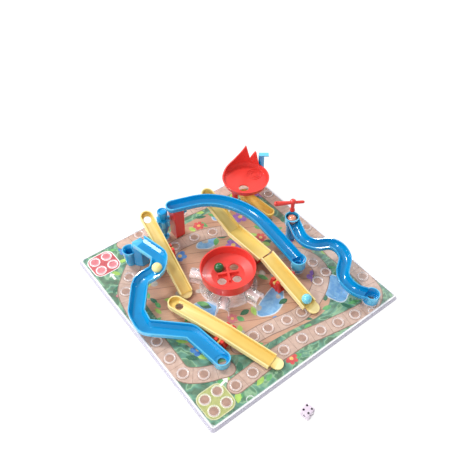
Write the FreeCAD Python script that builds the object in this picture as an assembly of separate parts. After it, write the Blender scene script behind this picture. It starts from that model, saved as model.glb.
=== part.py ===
import FreeCAD, Part
import math
import os
from FreeCAD import Rotation, Vector

# Snakes and ladders board with see-saw ladders and marble slides.
# Lengths are in millimetres and angles in degrees. The origin is the middle of
# the board's underside, +Z is up, +X runs along the near right edge and +Y
# runs away from the start corner. Places on the board are shares of its half
# width and half length, so they stay on the board when its size changes.

# Board: a thick base board, the printed card on it and a clear tray over both
board_width = 290.0
board_length = 300.0
base_thickness = 3.8
card_thickness = 0.4
tray_sheet = 0.8
skirt_flare = 2.0
tray_corner_radius = 4.0
base_clearance = 0.3
rim_width = 2.4
rim_height = 0.8
half_width = board_width / 2
half_length = board_length / 2
card_top = base_thickness + card_thickness
deck = card_top + tray_sheet
seat_gap = 0.3
overrun = 1.0

# Marbles and the rings of the track that hold them
marble_diameter = 13.0
marble_radius = marble_diameter / 2
ring_outer_radius = 7.2
ring_crest_radius = 6.1
ring_inner_radius = 5.0
ring_height = 1.6
pad_pitch = 17.0
start_pad_shares = (-0.834, -0.822)
finish_pad_shares = (-0.829, 0.831)
track_shares = (
    (-0.635, -0.813), (-0.462, -0.807), (-0.138, -0.803), (0.052, -0.811),
    (0.224, -0.846), (0.394, -0.878), (0.562, -0.906),
    (-0.250, -0.560), (-0.104, -0.573), (0.072, -0.607), (0.222, -0.624),
    (-0.904, -0.320), (-0.897, -0.489), (-0.772, -0.592), (-0.900, -0.130),
    (-0.731, 0.562), (-0.836, 0.444),
    (-0.205, 0.612), (0.002, 0.595), (0.176, 0.545),
    (0.276, 0.906), (0.090, 0.925), (-0.210, 0.930), (-0.390, 0.934),
    (0.930, 0.620), (0.926, 0.062), (0.926, -0.150), (0.912, -0.668),
    (0.668, -0.290), (0.686, -0.437), (0.560, -0.467),
)

# Half loops at the inside of the rim, where a finger lifts the tray
rim_loop_radius = 5.0
rim_loop_wall = 1.2
rim_loop_shares = (-0.62, 0.70)

# Socket rings on the tray, round the feet that stand on it
socket_wall = 1.2
socket_height = 1.6

# Central bowl on its clear mound, with arched ways out for the marbles
bowl_shares = (-0.085, -0.024)
mound_base_radius = 37.0
mound_top_radius = 29.0
mound_wall = 1.0
mound_height = 19.0
mound_opening_radius = 21.0
arch_way_angles = (58.0, 128.0, 224.0, 286.0)
arch_way_reach = 49.0
arch_way_half_width = 8.4
arch_way_side_height = 6.6
bowl_rim_radius = 35.0
bowl_foot_radius = 33.3
bowl_height = 15.5
bowl_wall = 1.6
bowl_floor = 2.0
bowl_slope_rise = 3.0
bowl_flat_radius = 21.0
bowl_hole_diameter = 11.6
bowl_hole_circle_radius = 13.6
bowl_hole_angle = 19.0
bowl_holes = 4
divider_length = 13.0
divider_wall = 2.6
divider_height = 3.6
mound_top = deck + mound_height

# Zigzag slide: angular channel with a flat floor and chamfered sides
zigzag_width = 20.5
zigzag_height = 9.5
zigzag_wall = 1.5
zigzag_chamfer = 4.0
zigzag_shares = (
    (-0.548, 0.624), (-0.488, 0.385), (-0.590, 0.280), (-0.735, 0.323),
    (-0.912, 0.132), (-0.928, -0.012), (-0.648, -0.257), (-0.597, -0.593),
)
zigzag_bend_radius = 12.0
zigzag_bend_steps = 3
zigzag_start_height = 45.0
zigzag_end_height = 9.8
zigzag_fall_shares = (0.0, 0.04, 0.11, 0.33, 0.73, 0.84, 0.94, 1.0)
end_hole_diameter = 10.0
zigzag_leg_length = 17.0
zigzag_leg_depth = 15.0
zigzag_leg_chamfer = 7.0
zigzag_leg_shares = (-0.553, 0.640)
catch_cup_radius = 6.8
catch_cup_bore_radius = 5.3
catch_cup_rim_radius = 9.4
catch_cup_rim_wall = 1.4
catch_cup_height = 25.0
catch_cup_funnel_depth = 4.0
catch_cup_depth = 18.0
catch_cup_shares = (-0.622, 0.695)

# Round channel of the arch slide, the S slide and the dish chute
channel_wall = 1.5
channel_straight = 2.2
station_spacing = 7.0
cup_rise = 1.0

# Arch slide over the red post
arch_width = 18.5
arch_shares = ((-0.132, 0.700), (0.432, 0.505), (0.501, -0.269))
arch_bend_shares = (0.650,)
arch_start_height = 61.5
arch_end_height = 21.7
arch_level_share = 0.15
arch_fall_power = 1.5
arch_cup_radius = 10.0
arch_foot_radius = 6.4
arch_rib_share = 0.78
arch_rib_length = 12.0
arch_rib_width = 3.0
arch_rib_depth = 3.0
arch_tongue_length = 6.0
arch_tongue_wall = 5.5
arch_tongue_height = 13.0
post_width = 13.2
post_depth = 14.8
post_head_flare = 1.0
post_wall = 1.8
post_top_share = 0.82
post_shares = (-0.087, 0.732)

# S slide with the gate cup at its head
s_width = 16.8
s_shares = (
    (0.722, 0.066), (0.614, -0.227), (0.883, -0.333), (0.855, -0.493),
    (0.683, -0.613), (0.683, -0.773), (0.776, -0.883),
)
s_bend_shares = (0.499, 0.527, 0.337, 0.426, 0.435)
s_start_height = 38.0
s_end_height = 12.5
s_head_cup_radius = 9.6
s_end_cup_radius = 9.8
s_foot_radius = 7.0

# Turn handle: a T on a stem in the boss behind the gate cup
stem_radius = 2.0
running_clearance = 0.06
boss_radius = 3.8
boss_height = 13.0
boss_reach = 11.2
boss_angle = 48.0
handle_collar_radius = 3.4
handle_collar_height = 2.4
handle_stem_height = 14.5
handle_neck_radius = 2.6
handle_knob_radius = 2.9
paddle_length = 22.0
paddle_radius = 3.4
handle_bar_length = 13.5
handle_bar_radius = 2.1
handle_angle = -32.0

# Turn knob on its peg beside the red post
knob_post_pitch = 17.835
knob_post_setback = 4.65
knob_peg_radius = 2.6
knob_peg_height = 30.0
knob_foot_radius = 6.0
knob_foot_height = 3.0
knob_skirt_radius = 4.6
knob_skirt_top_radius = 8.0
knob_skirt_lift = 11.0
knob_skirt_height = 15.0
knob_body_radius = 9.9
knob_lobe_radius = 2.4
knob_lobes = 6
knob_body_height = 9.0
knob_neck_radius = 4.2
knob_neck_height = 8.5
knob_head_radius = 6.8
knob_head_height = 7.0
knob_dish_depth = 1.6

# Swirl dish with its flame wall, post, tower and chute
dish_shares = (0.710, 0.709)
dish_radius = 33.0
dish_rim_height = 41.5
dish_wall = 1.8
dish_depth = 5.0
dish_slope_drop = 1.2
dish_hole_diameter = 14.0
dish_hole_reach = 16.6
dish_hole_angle = 222.0
dish_groove_radii = (11.0, 8.0, 5.0)
dish_groove_width = 1.2
dish_groove_depth = 0.6
dish_swirl_reach = 17.0
dish_swirl_angle = 4.0
flame_height = 30.0
flame_angle = 81.0
flame_rise_shares = ((-0.485, 0.10), (-0.030, 0.30), (0.250, 0.57), (0.485, 1.0))
flame_notch_shares = (0.625, 0.22)
flame_second_tip_shares = (0.800, 0.74)
flame_half_span_share = 0.875
dish_post_radius = 4.2
dish_post_shares = (0.584, 0.716)
tower_gap = 1.8
tower_angle = 12.7
tower_foot = 6.6
tower_waist = 6.0
tower_height = 58.5
tower_plate_length = 14.0
tower_plate_width = 7.0
tower_plate_thickness = 1.6
tower_plate_turn = -38.0
tower_lug = 4.0
chute_width = 15.2
chute_shares = ((0.627, 0.630), (0.731, 0.383))
chute_start_height = 27.0
chute_end_height = 10.8
chute_foot_radius = 5.0
chute_spans = 4

# See-saw ladders: shallow channels on red fulcrums, with a finger tab at the
# low end. Each lists the places of its low end and of its far tip, its pitch
# and how far its tab stands out past the low end and to the side.
ladder_height = 6.4
ladder_floor = 1.4
ladder_wall = 1.5
ladder_sill = 1.8
ladder_hole_diameter = 10.0
tab_thickness = 2.2
pin_radius = 2.0
pin_drop = 2.4
hub_half_length = 3.2
hub_half_width = 6.0
ear_gap = 0.7
ear_thickness = 3.8
ear_foot_half = 9.6
ear_horn_half = 6.0
ear_rib = 1.1
fulcrum_base = 1.2
pin_tip = 0.8

left_ladder = {
    "near_shares": (-0.445, 0.087), "far_shares": (-0.353, 0.828),
    "pitch": 22.5, "bend": 0.0,
    "width": 16.6, "wide_width": 0.0, "bend_share": 0.5, "pivot_share": 0.512,
    "near_height": None, "horn_height": 4.2, "hole_back": 11.0,
    "tab_reach": 6.7, "tab_radius": 8.2, "tab_offset": 0.0, "undercut": 0.0,
}
front_ladder = {
    "near_shares": (-0.293, -0.843), "far_shares": (-0.615, 0.094),
    "pitch": 5.4, "bend": -4.9,
    "width": 19.4, "wide_width": 0.0, "bend_share": 0.44, "pivot_share": 0.44,
    "near_height": None, "horn_height": 4.2, "hole_back": 15.0,
    "tab_reach": 13.0, "tab_radius": 7.3, "tab_offset": 2.3, "undercut": 0.0,
}
centre_ladder = {
    "near_shares": (0.302, -0.630), "far_shares": (0.296, -0.088),
    "pitch": 12.8, "bend": 0.0,
    "width": 19.8, "wide_width": 0.0, "bend_share": 0.5, "pivot_share": 0.589,
    "near_height": None, "horn_height": 4.2, "hole_back": None,
    "tab_reach": 13.2, "tab_radius": 8.0, "tab_offset": 2.6, "undercut": 0.0,
}
upper_ladder = {
    "near_shares": (0.291, -0.069), "far_shares": (0.234, 0.735),
    "pitch": 1.6, "bend": 24.0,
    "width": 19.0, "wide_width": 21.5, "bend_share": 0.50, "pivot_share": 0.16,
    "near_height": 25.0, "horn_height": 2.2, "hole_back": 12.0,
    "tab_reach": 0.0, "tab_radius": 0.0, "tab_offset": 0.0, "undercut": 2.2,
}

# Die beside the board
die_size = 12.0
die_edge_radius = 1.6
pip_radius = 1.6
pip_pitch = 3.2
pip_depth = 0.75
die_shares = (-0.350, -1.297)
die_turn = 192.0


def spot(shares, height=0.0):
    return Vector(shares[0] * half_width, shares[1] * half_length, height)


def rounded_rectangle(width, length, radius, height):
    box = Part.makeBox(width, length, overrun, Vector(-width / 2, -length / 2, height))
    uprights = [edge for edge in box.Edges if abs(edge.tangentAt(0).z) > math.cos(math.pi / 4)]
    box = box.makeFillet(radius, uprights)
    bottom = min(box.Faces, key=lambda face: face.CenterOfMass.z)
    return bottom.OuterWire


def frustum(bottom_size, top_size, bottom, top, radius):
    wires = [
        rounded_rectangle(bottom_size[0], bottom_size[1], radius, bottom),
        rounded_rectangle(top_size[0], top_size[1], radius, top),
    ]
    return Part.makeLoft(wires, True, True)


def upright_tube(centre, outer, inner, bottom, top):
    base = Vector(centre.x, centre.y, bottom)
    tube = Part.makeCylinder(outer, top - bottom, base)
    return tube.cut(Part.makeCylinder(inner, top - bottom, base))


def revolve(points, centre):
    outline = Part.Face(Part.makePolygon([Vector(r, 0, z) for r, z in points + points[:1]]))
    solid = outline.revolve(Vector(0, 0, 0), Vector(0, 0, 1), 360)
    solid.translate(Vector(centre.x, centre.y, 0))
    return solid


def plan_prism(points, bottom, top):
    outline = Part.makePolygon([Vector(x, y, bottom) for x, y in points + points[:1]])
    return Part.Face(outline).extrude(Vector(0, 0, top - bottom))


def polar(centre, reach, angle):
    turn = math.radians(angle)
    return Vector(centre.x + reach * math.cos(turn), centre.y + reach * math.sin(turn), centre.z)


# Board

def make_base_board():
    inset = skirt_flare + tray_sheet + base_clearance
    size = (board_width - 2 * inset, board_length - 2 * inset)
    return frustum(size, size, 0.0, base_thickness, tray_corner_radius)


def make_printed_card():
    inset = skirt_flare + tray_sheet + base_clearance
    size = (board_width - 2 * inset, board_length - 2 * inset)
    return frustum(size, size, base_thickness, card_top, tray_corner_radius)


def marble_ring(centre):
    inner = Vector(ring_inner_radius, 0, deck)
    crest = Vector(ring_crest_radius, 0, deck + ring_height)
    outer = Vector(ring_outer_radius, 0, deck)
    sunk = tray_sheet / 2
    sides = [
        Part.Arc(inner, crest, outer).toShape(),
        Part.LineSegment(outer, outer - Vector(0, 0, sunk)).toShape(),
        Part.LineSegment(outer - Vector(0, 0, sunk), inner - Vector(0, 0, sunk)).toShape(),
        Part.LineSegment(inner - Vector(0, 0, sunk), inner).toShape(),
    ]
    ring = Part.Face(Part.Wire(sides)).revolve(Vector(0, 0, 0), Vector(0, 0, 1), 360)
    ring.translate(Vector(centre.x, centre.y, 0))
    return ring


def pad_places(shares):
    middle = spot(shares)
    step = pad_pitch / 2
    return [middle + Vector(i * step, j * step, 0) for i in (-1, 1) for j in (-1, 1)]


def socket_ring(place, radius):
    inner = radius + seat_gap
    return upright_tube(place, inner + socket_wall, inner, deck - tray_sheet / 2,
                        deck + socket_height)


def make_clear_tray():
    outer_top = (board_width - 2 * skirt_flare, board_length - 2 * skirt_flare)
    shell = frustum((board_width, board_length), outer_top, 0.0, deck, tray_corner_radius)
    inside = 2 * tray_sheet
    hollow = frustum((board_width - inside, board_length - inside),
                     (outer_top[0] - inside, outer_top[1] - inside),
                     0.0, card_top, tray_corner_radius)
    rim_inner = (outer_top[0] - 2 * rim_width, outer_top[1] - 2 * rim_width)
    rim = frustum(outer_top, outer_top, deck, deck + rim_height, tray_corner_radius)
    rim = rim.cut(frustum(rim_inner, rim_inner, deck, deck + rim_height, tray_corner_radius))
    rim = rim.cut(tower_foot_room())
    raised = [rim]
    places = [spot(shares) for shares in track_shares]
    places += pad_places(start_pad_shares) + pad_places(finish_pad_shares)
    rooms = [fulcrum_room(ladder)
             for ladder in (left_ladder, front_ladder, centre_ladder, upper_ladder)]
    raised += [marble_ring(place).cut(rooms) for place in places]
    edge = Vector(0, -rim_inner[1] / 2, 0)
    beyond = frustum(rim_inner, rim_inner, deck - tray_sheet / 2, deck + rim_height,
                     tray_corner_radius)
    for share in rim_loop_shares:
        loop = upright_tube(spot((share, 0.0)) + edge, rim_loop_radius,
                            rim_loop_radius - rim_loop_wall, deck - tray_sheet / 2,
                            deck + rim_height)
        raised.append(loop.common(beyond))
    raised.append(socket_ring(spot(s_shares[-1]), s_end_cup_radius))
    raised.append(socket_ring(spot(arch_shares[-1]), arch_foot_radius))
    raised.append(socket_ring(spot(dish_post_shares), dish_post_radius))
    raised.append(socket_ring(knob_place(0.0), knob_foot_radius))
    return shell.cut(hollow).fuse(raised).removeSplitter()


# Central bowl and mound

def mound_cone(inset):
    return revolve([(0.0, deck), (mound_base_radius - inset, deck),
                    (mound_top_radius - inset, mound_top - inset), (0.0, mound_top - inset)],
                   spot(bowl_shares))


def arch_way(inset, past_end, angle):
    """A tunnel with an arched top, from the middle of the mound outwards."""
    half = arch_way_half_width - inset
    spring = deck + arch_way_side_height
    feet = [Vector(0, -half, deck), Vector(0, half, deck)]
    springs = [Vector(0, -half, spring), Vector(0, half, spring)]
    sides = [
        Part.LineSegment(feet[0], springs[0]).toShape(),
        Part.Arc(springs[0], Vector(0, 0, spring + half), springs[1]).toShape(),
        Part.LineSegment(springs[1], feet[1]).toShape(),
        Part.LineSegment(feet[1], feet[0]).toShape(),
    ]
    way = Part.Face(Part.Wire(sides)).extrude(Vector(arch_way_reach + past_end, 0, 0))
    way.rotate(Vector(0, 0, 0), Vector(0, 0, 1), angle)
    way.translate(spot(bowl_shares))
    return way


def make_clear_mound():
    outer = mound_cone(0.0)
    inner = mound_cone(mound_wall)
    for angle in arch_way_angles:
        outer = outer.fuse(arch_way(0.0, 0.0, angle))
        inner = inner.fuse(arch_way(mound_wall, overrun, angle))
    opening = Part.makeCylinder(mound_opening_radius, mound_height, spot(bowl_shares, deck))
    mound = outer.cut(inner).cut(opening)
    return mound.cut(fulcrum_room(upper_ladder)).removeSplitter()


def bowl_hole_centres():
    step = 360.0 / bowl_holes
    centre = spot(bowl_shares, mound_top)
    return [polar(centre, bowl_hole_circle_radius, bowl_hole_angle + index * step)
            for index in range(bowl_holes)]


def make_central_bowl():
    floor_top = mound_top + bowl_floor
    rim = mound_top + bowl_height
    profile = [
        (0.0, mound_top), (bowl_foot_radius, mound_top), (bowl_rim_radius, rim),
        (bowl_rim_radius - bowl_wall, rim),
        (bowl_foot_radius - bowl_wall, floor_top + bowl_slope_rise),
        (bowl_flat_radius, floor_top), (0.0, floor_top),
    ]
    centre = spot(bowl_shares)
    bowl = revolve(profile, centre)
    step = 360.0 / bowl_holes
    for index in range(bowl_holes):
        fin = Part.makeBox(divider_length, divider_wall, bowl_floor + divider_height,
                           Vector(0, -divider_wall / 2, mound_top))
        fin.rotate(Vector(0, 0, 0), Vector(0, 0, 1), bowl_hole_angle + (index + 1 / 2) * step)
        fin.translate(centre)
        bowl = bowl.fuse(fin)
    for hole in bowl_hole_centres():
        bowl = bowl.cut(Part.makeCylinder(bowl_hole_diameter / 2, bowl_height, hole))
    return bowl.removeSplitter()


# Zigzag slide

def zigzag_edge_heights():
    fall = zigzag_start_height - zigzag_end_height
    return [deck + zigzag_start_height - share * fall for share in zigzag_fall_shares]


def zigzag_points():
    return [spot(shares, height)
            for shares, height in zip(zigzag_shares, zigzag_edge_heights())]


def zigzag_stations():
    """Places and headings along the slide, with each corner rounded in steps."""
    points = zigzag_points()
    corners = [Vector(point.x, point.y, 0) for point in points]
    route = plan_route(corners, [zigzag_bend_radius] * (len(corners) - 2))
    heights = [point.z for point in points]
    knots = [0.0]
    stations = []
    length = 0.0
    for index, edge in enumerate(route.Edges):
        bend = index % 2 == 1
        steps = zigzag_bend_steps if bend else 1
        if bend:
            knots.append(length + edge.Length / 2)
        first = 0 if index == 0 else 1
        for step in range(first, steps + 1):
            share = step / steps
            at = edge.FirstParameter + share * (edge.LastParameter - edge.FirstParameter)
            reach = length + share * edge.Length
            stations.append((edge.valueAt(at), edge.tangentAt(at).normalize(), reach))
        length += edge.Length
    knots.append(length)
    placed = []
    for place, along, reach in stations:
        part = max(index for index, knot in enumerate(knots[:-1]) if knot <= reach)
        share = (reach - knots[part]) / (knots[part + 1] - knots[part])
        height = heights[part] + share * (heights[part + 1] - heights[part])
        placed.append((Vector(place.x, place.y, height), along))
    return placed


def square_sections(stations, outline):
    wires = []
    for point, along in stations:
        side = Vector(along.y, -along.x, 0)
        corners = [point + side * across + Vector(0, 0, up) for across, up in outline]
        wires.append(Part.makePolygon(corners + corners[:1]))
    return wires


def flat_direction(start, end):
    return Vector(end.x - start.x, end.y - start.y, 0).normalize()


def zigzag_outline(half, bottom, chamfer, top):
    return [(-half, top), (-half, bottom + chamfer), (-half + chamfer, bottom),
            (half - chamfer, bottom), (half, bottom + chamfer), (half, top)]


def make_zigzag_slide():
    stations = zigzag_stations()
    half = zigzag_width / 2
    start, heading = stations[0]
    end = stations[-1][0]
    outer = Part.makeLoft(square_sections(stations, zigzag_outline(
        half, -zigzag_height, zigzag_chamfer, 0.0)), True, True)
    outer = outer.fuse(Part.makeCylinder(half, end.z - deck, Vector(end.x, end.y, deck)))
    outer = outer.fuse(zigzag_leg(start.z - zigzag_height + zigzag_wall / 2))
    cup = spot(catch_cup_shares, deck)
    outer = outer.fuse(Part.makeCone(catch_cup_radius, catch_cup_rim_radius,
                                     catch_cup_height, cup))
    inner_half = half - zigzag_wall
    floor = zigzag_wall - zigzag_height
    open_end = [(start - heading * overrun, heading)]
    inner = Part.makeLoft(square_sections(open_end + stations, zigzag_outline(
        inner_half, floor, zigzag_chamfer - zigzag_wall / 2, overrun)), True, True)
    bore_bottom = Vector(end.x, end.y, end.z + floor)
    inner = inner.fuse(Part.makeCylinder(inner_half, zigzag_height, bore_bottom))
    slide = outer.cut(inner)
    slide = slide.cut(Part.makeCylinder(end_hole_diameter / 2, zigzag_height,
                                        Vector(end.x, end.y, deck)))
    well = Vector(cup.x, cup.y, deck + catch_cup_height - catch_cup_depth)
    slide = slide.cut(Part.makeCylinder(catch_cup_bore_radius, zigzag_start_height, well))
    funnel = Vector(cup.x, cup.y, deck + catch_cup_height - catch_cup_funnel_depth)
    return slide.cut(Part.makeCone(catch_cup_bore_radius,
                                   catch_cup_rim_radius - catch_cup_rim_wall,
                                   catch_cup_funnel_depth, funnel))


def zigzag_leg(top):
    centre = spot(zigzag_leg_shares)
    left = centre.x - zigzag_leg_length / 2
    right = centre.x + zigzag_leg_length / 2
    front = centre.y - zigzag_leg_depth / 2
    back = centre.y + zigzag_leg_depth / 2
    corners = [(left, front + zigzag_leg_chamfer), (left + zigzag_leg_chamfer, front),
               (right, front), (right, back), (left, back)]
    return plan_prism(corners, deck, top)


# Round channels

def bend_radii(corners, shares):
    """Radii of bends that each take a share of the shorter leg beside them."""
    radii = []
    for before, corner, after, share in zip(corners, corners[1:], corners[2:], shares):
        into = before - corner
        out = after - corner
        cut = share * min(into.Length, out.Length)
        radii.append(cut * math.tan(into.getAngle(out) / 2))
    return radii


def plan_route(corners, radii):
    edges = []
    start = corners[0]
    for corner, radius, following in zip(corners[1:-1], radii, corners[2:]):
        into = (start - corner).normalize()
        out = (following - corner).normalize()
        half_angle = into.getAngle(out) / 2
        cut = radius / math.tan(half_angle)
        bend_start = corner + into * cut
        bend_end = corner + out * cut
        bulge = radius / math.sin(half_angle) - radius
        middle = corner + (into + out).normalize() * bulge
        edges.append(Part.LineSegment(start, bend_start).toShape())
        edges.append(Part.Arc(bend_start, middle, bend_end).toShape())
        start = bend_end
    edges.append(Part.LineSegment(start, corners[-1]).toShape())
    return Part.Wire(edges)


def channel_stations(corners, bend_shares, start_height, end_height, fall):
    route = plan_route(corners, bend_radii(corners, bend_shares))
    count = max(int(route.Length / station_spacing), 4)
    points = route.discretize(count + 1)
    stations = []
    for index, point in enumerate(points):
        before = points[max(index - 1, 0)]
        after = points[min(index + 1, count)]
        drop = fall(index / count) * (start_height - end_height)
        edge = Vector(point.x, point.y, deck + start_height - drop)
        stations.append((edge, flat_direction(before, after)))
    return stations


def channel_solid(stations, half, straight, top):
    wires = []
    for edge, along in stations:
        side = Vector(along.y, -along.x, 0)
        left_top = edge - side * half + Vector(0, 0, top)
        right_top = edge + side * half + Vector(0, 0, top)
        left = edge - side * half - Vector(0, 0, straight)
        right = edge + side * half - Vector(0, 0, straight)
        bottom = edge - Vector(0, 0, straight + half)
        wires.append(Part.Wire([
            Part.LineSegment(left_top, left).toShape(),
            Part.Arc(left, bottom, right).toShape(),
            Part.LineSegment(right, right_top).toShape(),
            Part.LineSegment(right_top, left_top).toShape(),
        ]))
    return Part.makeLoft(wires, True, False)


def even_fall(share):
    return share


def arch_fall(share):
    if share < arch_level_share:
        return 0.0
    return ((share - arch_level_share) / (1 - arch_level_share)) ** arch_fall_power


def arch_stations():
    corners = [spot(shares) for shares in arch_shares]
    return channel_stations(corners, arch_bend_shares, arch_start_height,
                            arch_end_height, arch_fall)


def s_stations():
    corners = [spot(shares) for shares in s_shares]
    return channel_stations(corners, s_bend_shares, s_start_height, s_end_height, even_fall)


def cup_outer(edge, radius, foot_radius, depth):
    top = edge.z + cup_rise
    cup = Part.makeCylinder(radius, depth, Vector(edge.x, edge.y, top - depth))
    foot = Part.makeCylinder(foot_radius, top - depth - deck, Vector(edge.x, edge.y, deck))
    return cup.fuse(foot)


def cup_inner(edge, radius, depth):
    floor = edge.z - depth + channel_wall
    well = Part.makeCylinder(radius - channel_wall, depth + overrun,
                             Vector(edge.x, edge.y, floor))
    hole = Part.makeCylinder(end_hole_diameter / 2, floor - deck + overrun,
                             Vector(edge.x, edge.y, deck))
    return well.fuse(hole)


def round_end(station, radius, top):
    """The half round end behind a channel's first section, with the same outline."""
    edge, along = station
    low = Vector(0, 0, -channel_straight - radius)
    side = Vector(radius, 0, -channel_straight)
    lean = radius * math.sqrt(1 / 2)
    arc = Part.Arc(low, Vector(lean, 0, -channel_straight - lean), side).toShape()
    wall = Part.makePolygon([side, Vector(radius, 0, top), Vector(0, 0, top), low])
    outline = Part.Face(Part.Wire([arc] + wall.Edges))
    end = outline.revolve(Vector(0, 0, 0), Vector(0, 0, 1), 180)
    end.rotate(Vector(0, 0, 0), Vector(0, 0, 1),
               math.degrees(math.atan2(along.x, -along.y)))
    end.translate(edge)
    return end


def make_arch_slide():
    stations = arch_stations()
    half = arch_width / 2
    inner_half = half - channel_wall
    head = stations[0][0]
    end = stations[-1][0]
    depth = channel_straight + half
    outer = channel_solid(stations, half, channel_straight, 0.0)
    outer = outer.fuse(round_end(stations[0], half, 0.0))
    outer = outer.fuse(Part.makeCylinder(arch_cup_radius, depth + cup_rise,
                                         Vector(end.x, end.y, end.z - depth)))
    neck = deck + socket_height + seat_gap
    outer = outer.fuse(Part.makeCylinder(arch_foot_radius, neck - deck,
                                         Vector(end.x, end.y, deck)))
    outer = outer.fuse(Part.makeCone(arch_foot_radius, arch_cup_radius, end.z - depth - neck,
                                     Vector(end.x, end.y, neck)))
    rib_edge, along = stations[round(arch_rib_share * (len(stations) - 1))]
    rib = Part.makeBox(arch_rib_length, arch_rib_width, arch_rib_depth + half,
                       Vector(-arch_rib_length / 2, -arch_rib_width / 2, 0))
    rib.rotate(Vector(0, 0, 0), Vector(0, 0, 1), math.degrees(math.atan2(along.y, along.x)))
    rib.translate(rib_edge - Vector(0, 0, depth + arch_rib_depth))
    outer = outer.fuse(rib).fuse(arch_tongue(head.z - depth + channel_wall / 2))
    inner = channel_solid(stations, inner_half, channel_straight, overrun)
    inner = inner.fuse(round_end(stations[0], inner_half, overrun))
    return outer.cut(inner).cut(cup_inner(end, arch_cup_radius, depth))


def arch_tongue(top):
    centre = spot(post_shares)
    beside = post_width / 2 + post_head_flare + seat_gap
    corner = Vector(centre.x + beside, centre.y - arch_tongue_length, top - arch_tongue_height)
    height = arch_tongue_height + arch_width / 4
    return Part.makeBox(arch_tongue_wall, arch_tongue_length, height, corner)


def make_arch_post():
    centre = spot(post_shares)
    stations = arch_stations()
    top = stations[0][0].z - post_top_share * (channel_straight + arch_width / 2)
    sections = []
    for height, flare in ((deck, 0.0), (top, 2 * post_head_flare)):
        half_x = (post_width + flare) / 2
        half_y = (post_depth + flare) / 2
        corners = [Vector(centre.x + x * half_x, centre.y + y * half_y, height)
                   for x, y in ((-1, -1), (1, -1), (1, 1), (-1, 1))]
        sections.append(Part.makePolygon(corners + corners[:1]))
    post = Part.makeLoft(sections, True, True)
    hollow_width = post_width - 2 * post_wall
    hollow_depth = post_depth - 2 * post_wall
    hollow = Part.makeBox(hollow_width, hollow_depth, (top - deck) / 2,
                          Vector(centre.x - hollow_width / 2, centre.y - hollow_depth / 2, deck))
    half = arch_width / 2
    saddle = channel_solid(stations, half, channel_straight, overrun)
    saddle = saddle.fuse(round_end(stations[0], half, overrun))
    return post.cut(hollow).cut(saddle)


def boss_place():
    return polar(spot(s_shares[0], deck + s_start_height), boss_reach, boss_angle)


def make_s_slide():
    stations = s_stations()
    half = s_width / 2
    head = stations[0][0]
    end = stations[-1][0]
    depth = channel_straight + half
    outer = channel_solid(stations, half, channel_straight, 0.0)
    outer = outer.fuse(cup_outer(head, s_head_cup_radius, s_foot_radius, depth + cup_rise))
    outer = outer.fuse(cup_outer(end, s_end_cup_radius, s_end_cup_radius, depth + cup_rise))
    boss = boss_place()
    boss_bottom = boss.z + cup_rise - boss_height
    outer = outer.fuse(Part.makeCylinder(boss_radius, boss_height,
                                         Vector(boss.x, boss.y, boss_bottom)))
    inner = channel_solid(stations, half - channel_wall, channel_straight, overrun)
    inner = inner.fuse(cup_inner(head, s_head_cup_radius, depth))
    inner = inner.fuse(cup_inner(end, s_end_cup_radius, depth))
    bore = Part.makeCylinder(stem_radius + running_clearance, boss_height - channel_wall,
                             Vector(boss.x, boss.y, boss_bottom + channel_wall))
    return outer.cut(inner).cut(bore)


# Turning pieces

def make_turn_handle():
    boss = boss_place()
    top = boss.z + cup_rise
    tail = boss_height - channel_wall - seat_gap
    handle = Part.makeCylinder(stem_radius, tail + seat_gap, Vector(0, 0, top - tail))
    handle = handle.fuse(Part.makeCylinder(handle_collar_radius, handle_collar_height,
                                           Vector(0, 0, top + seat_gap)))
    bar_height = top + seat_gap + handle_stem_height
    handle = handle.fuse(Part.makeCylinder(handle_neck_radius, handle_stem_height,
                                           Vector(0, 0, top + seat_gap)))
    handle = handle.fuse(Part.makeSphere(handle_knob_radius + handle_neck_radius / 2,
                                         Vector(0, 0, bar_height + handle_knob_radius / 2)))
    arm = Part.makeCone(handle_bar_radius, paddle_radius, paddle_length,
                        Vector(0, 0, bar_height), Vector(-1, 0, 0))
    tip = Part.makeSphere(paddle_radius, Vector(-paddle_length, 0, bar_height))
    bar = Part.makeCylinder(handle_bar_radius, handle_bar_length,
                            Vector(0, 0, bar_height), Vector(1, 0, 0))
    bar_tip = Part.makeSphere(handle_bar_radius, Vector(handle_bar_length, 0, bar_height))
    handle = handle.fuse([arm, tip, bar, bar_tip])
    handle.rotate(Vector(0, 0, 0), Vector(0, 0, 1), handle_angle)
    handle.translate(Vector(boss.x, boss.y, 0))
    return handle


def knob_place(height):
    return spot(post_shares, height) + Vector(-knob_post_pitch, knob_post_setback, 0)


def make_knob_peg():
    place = knob_place(deck)
    foot = Part.makeCylinder(knob_foot_radius, knob_foot_height, place)
    return foot.fuse(Part.makeCylinder(knob_peg_radius, knob_peg_height, place))


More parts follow.
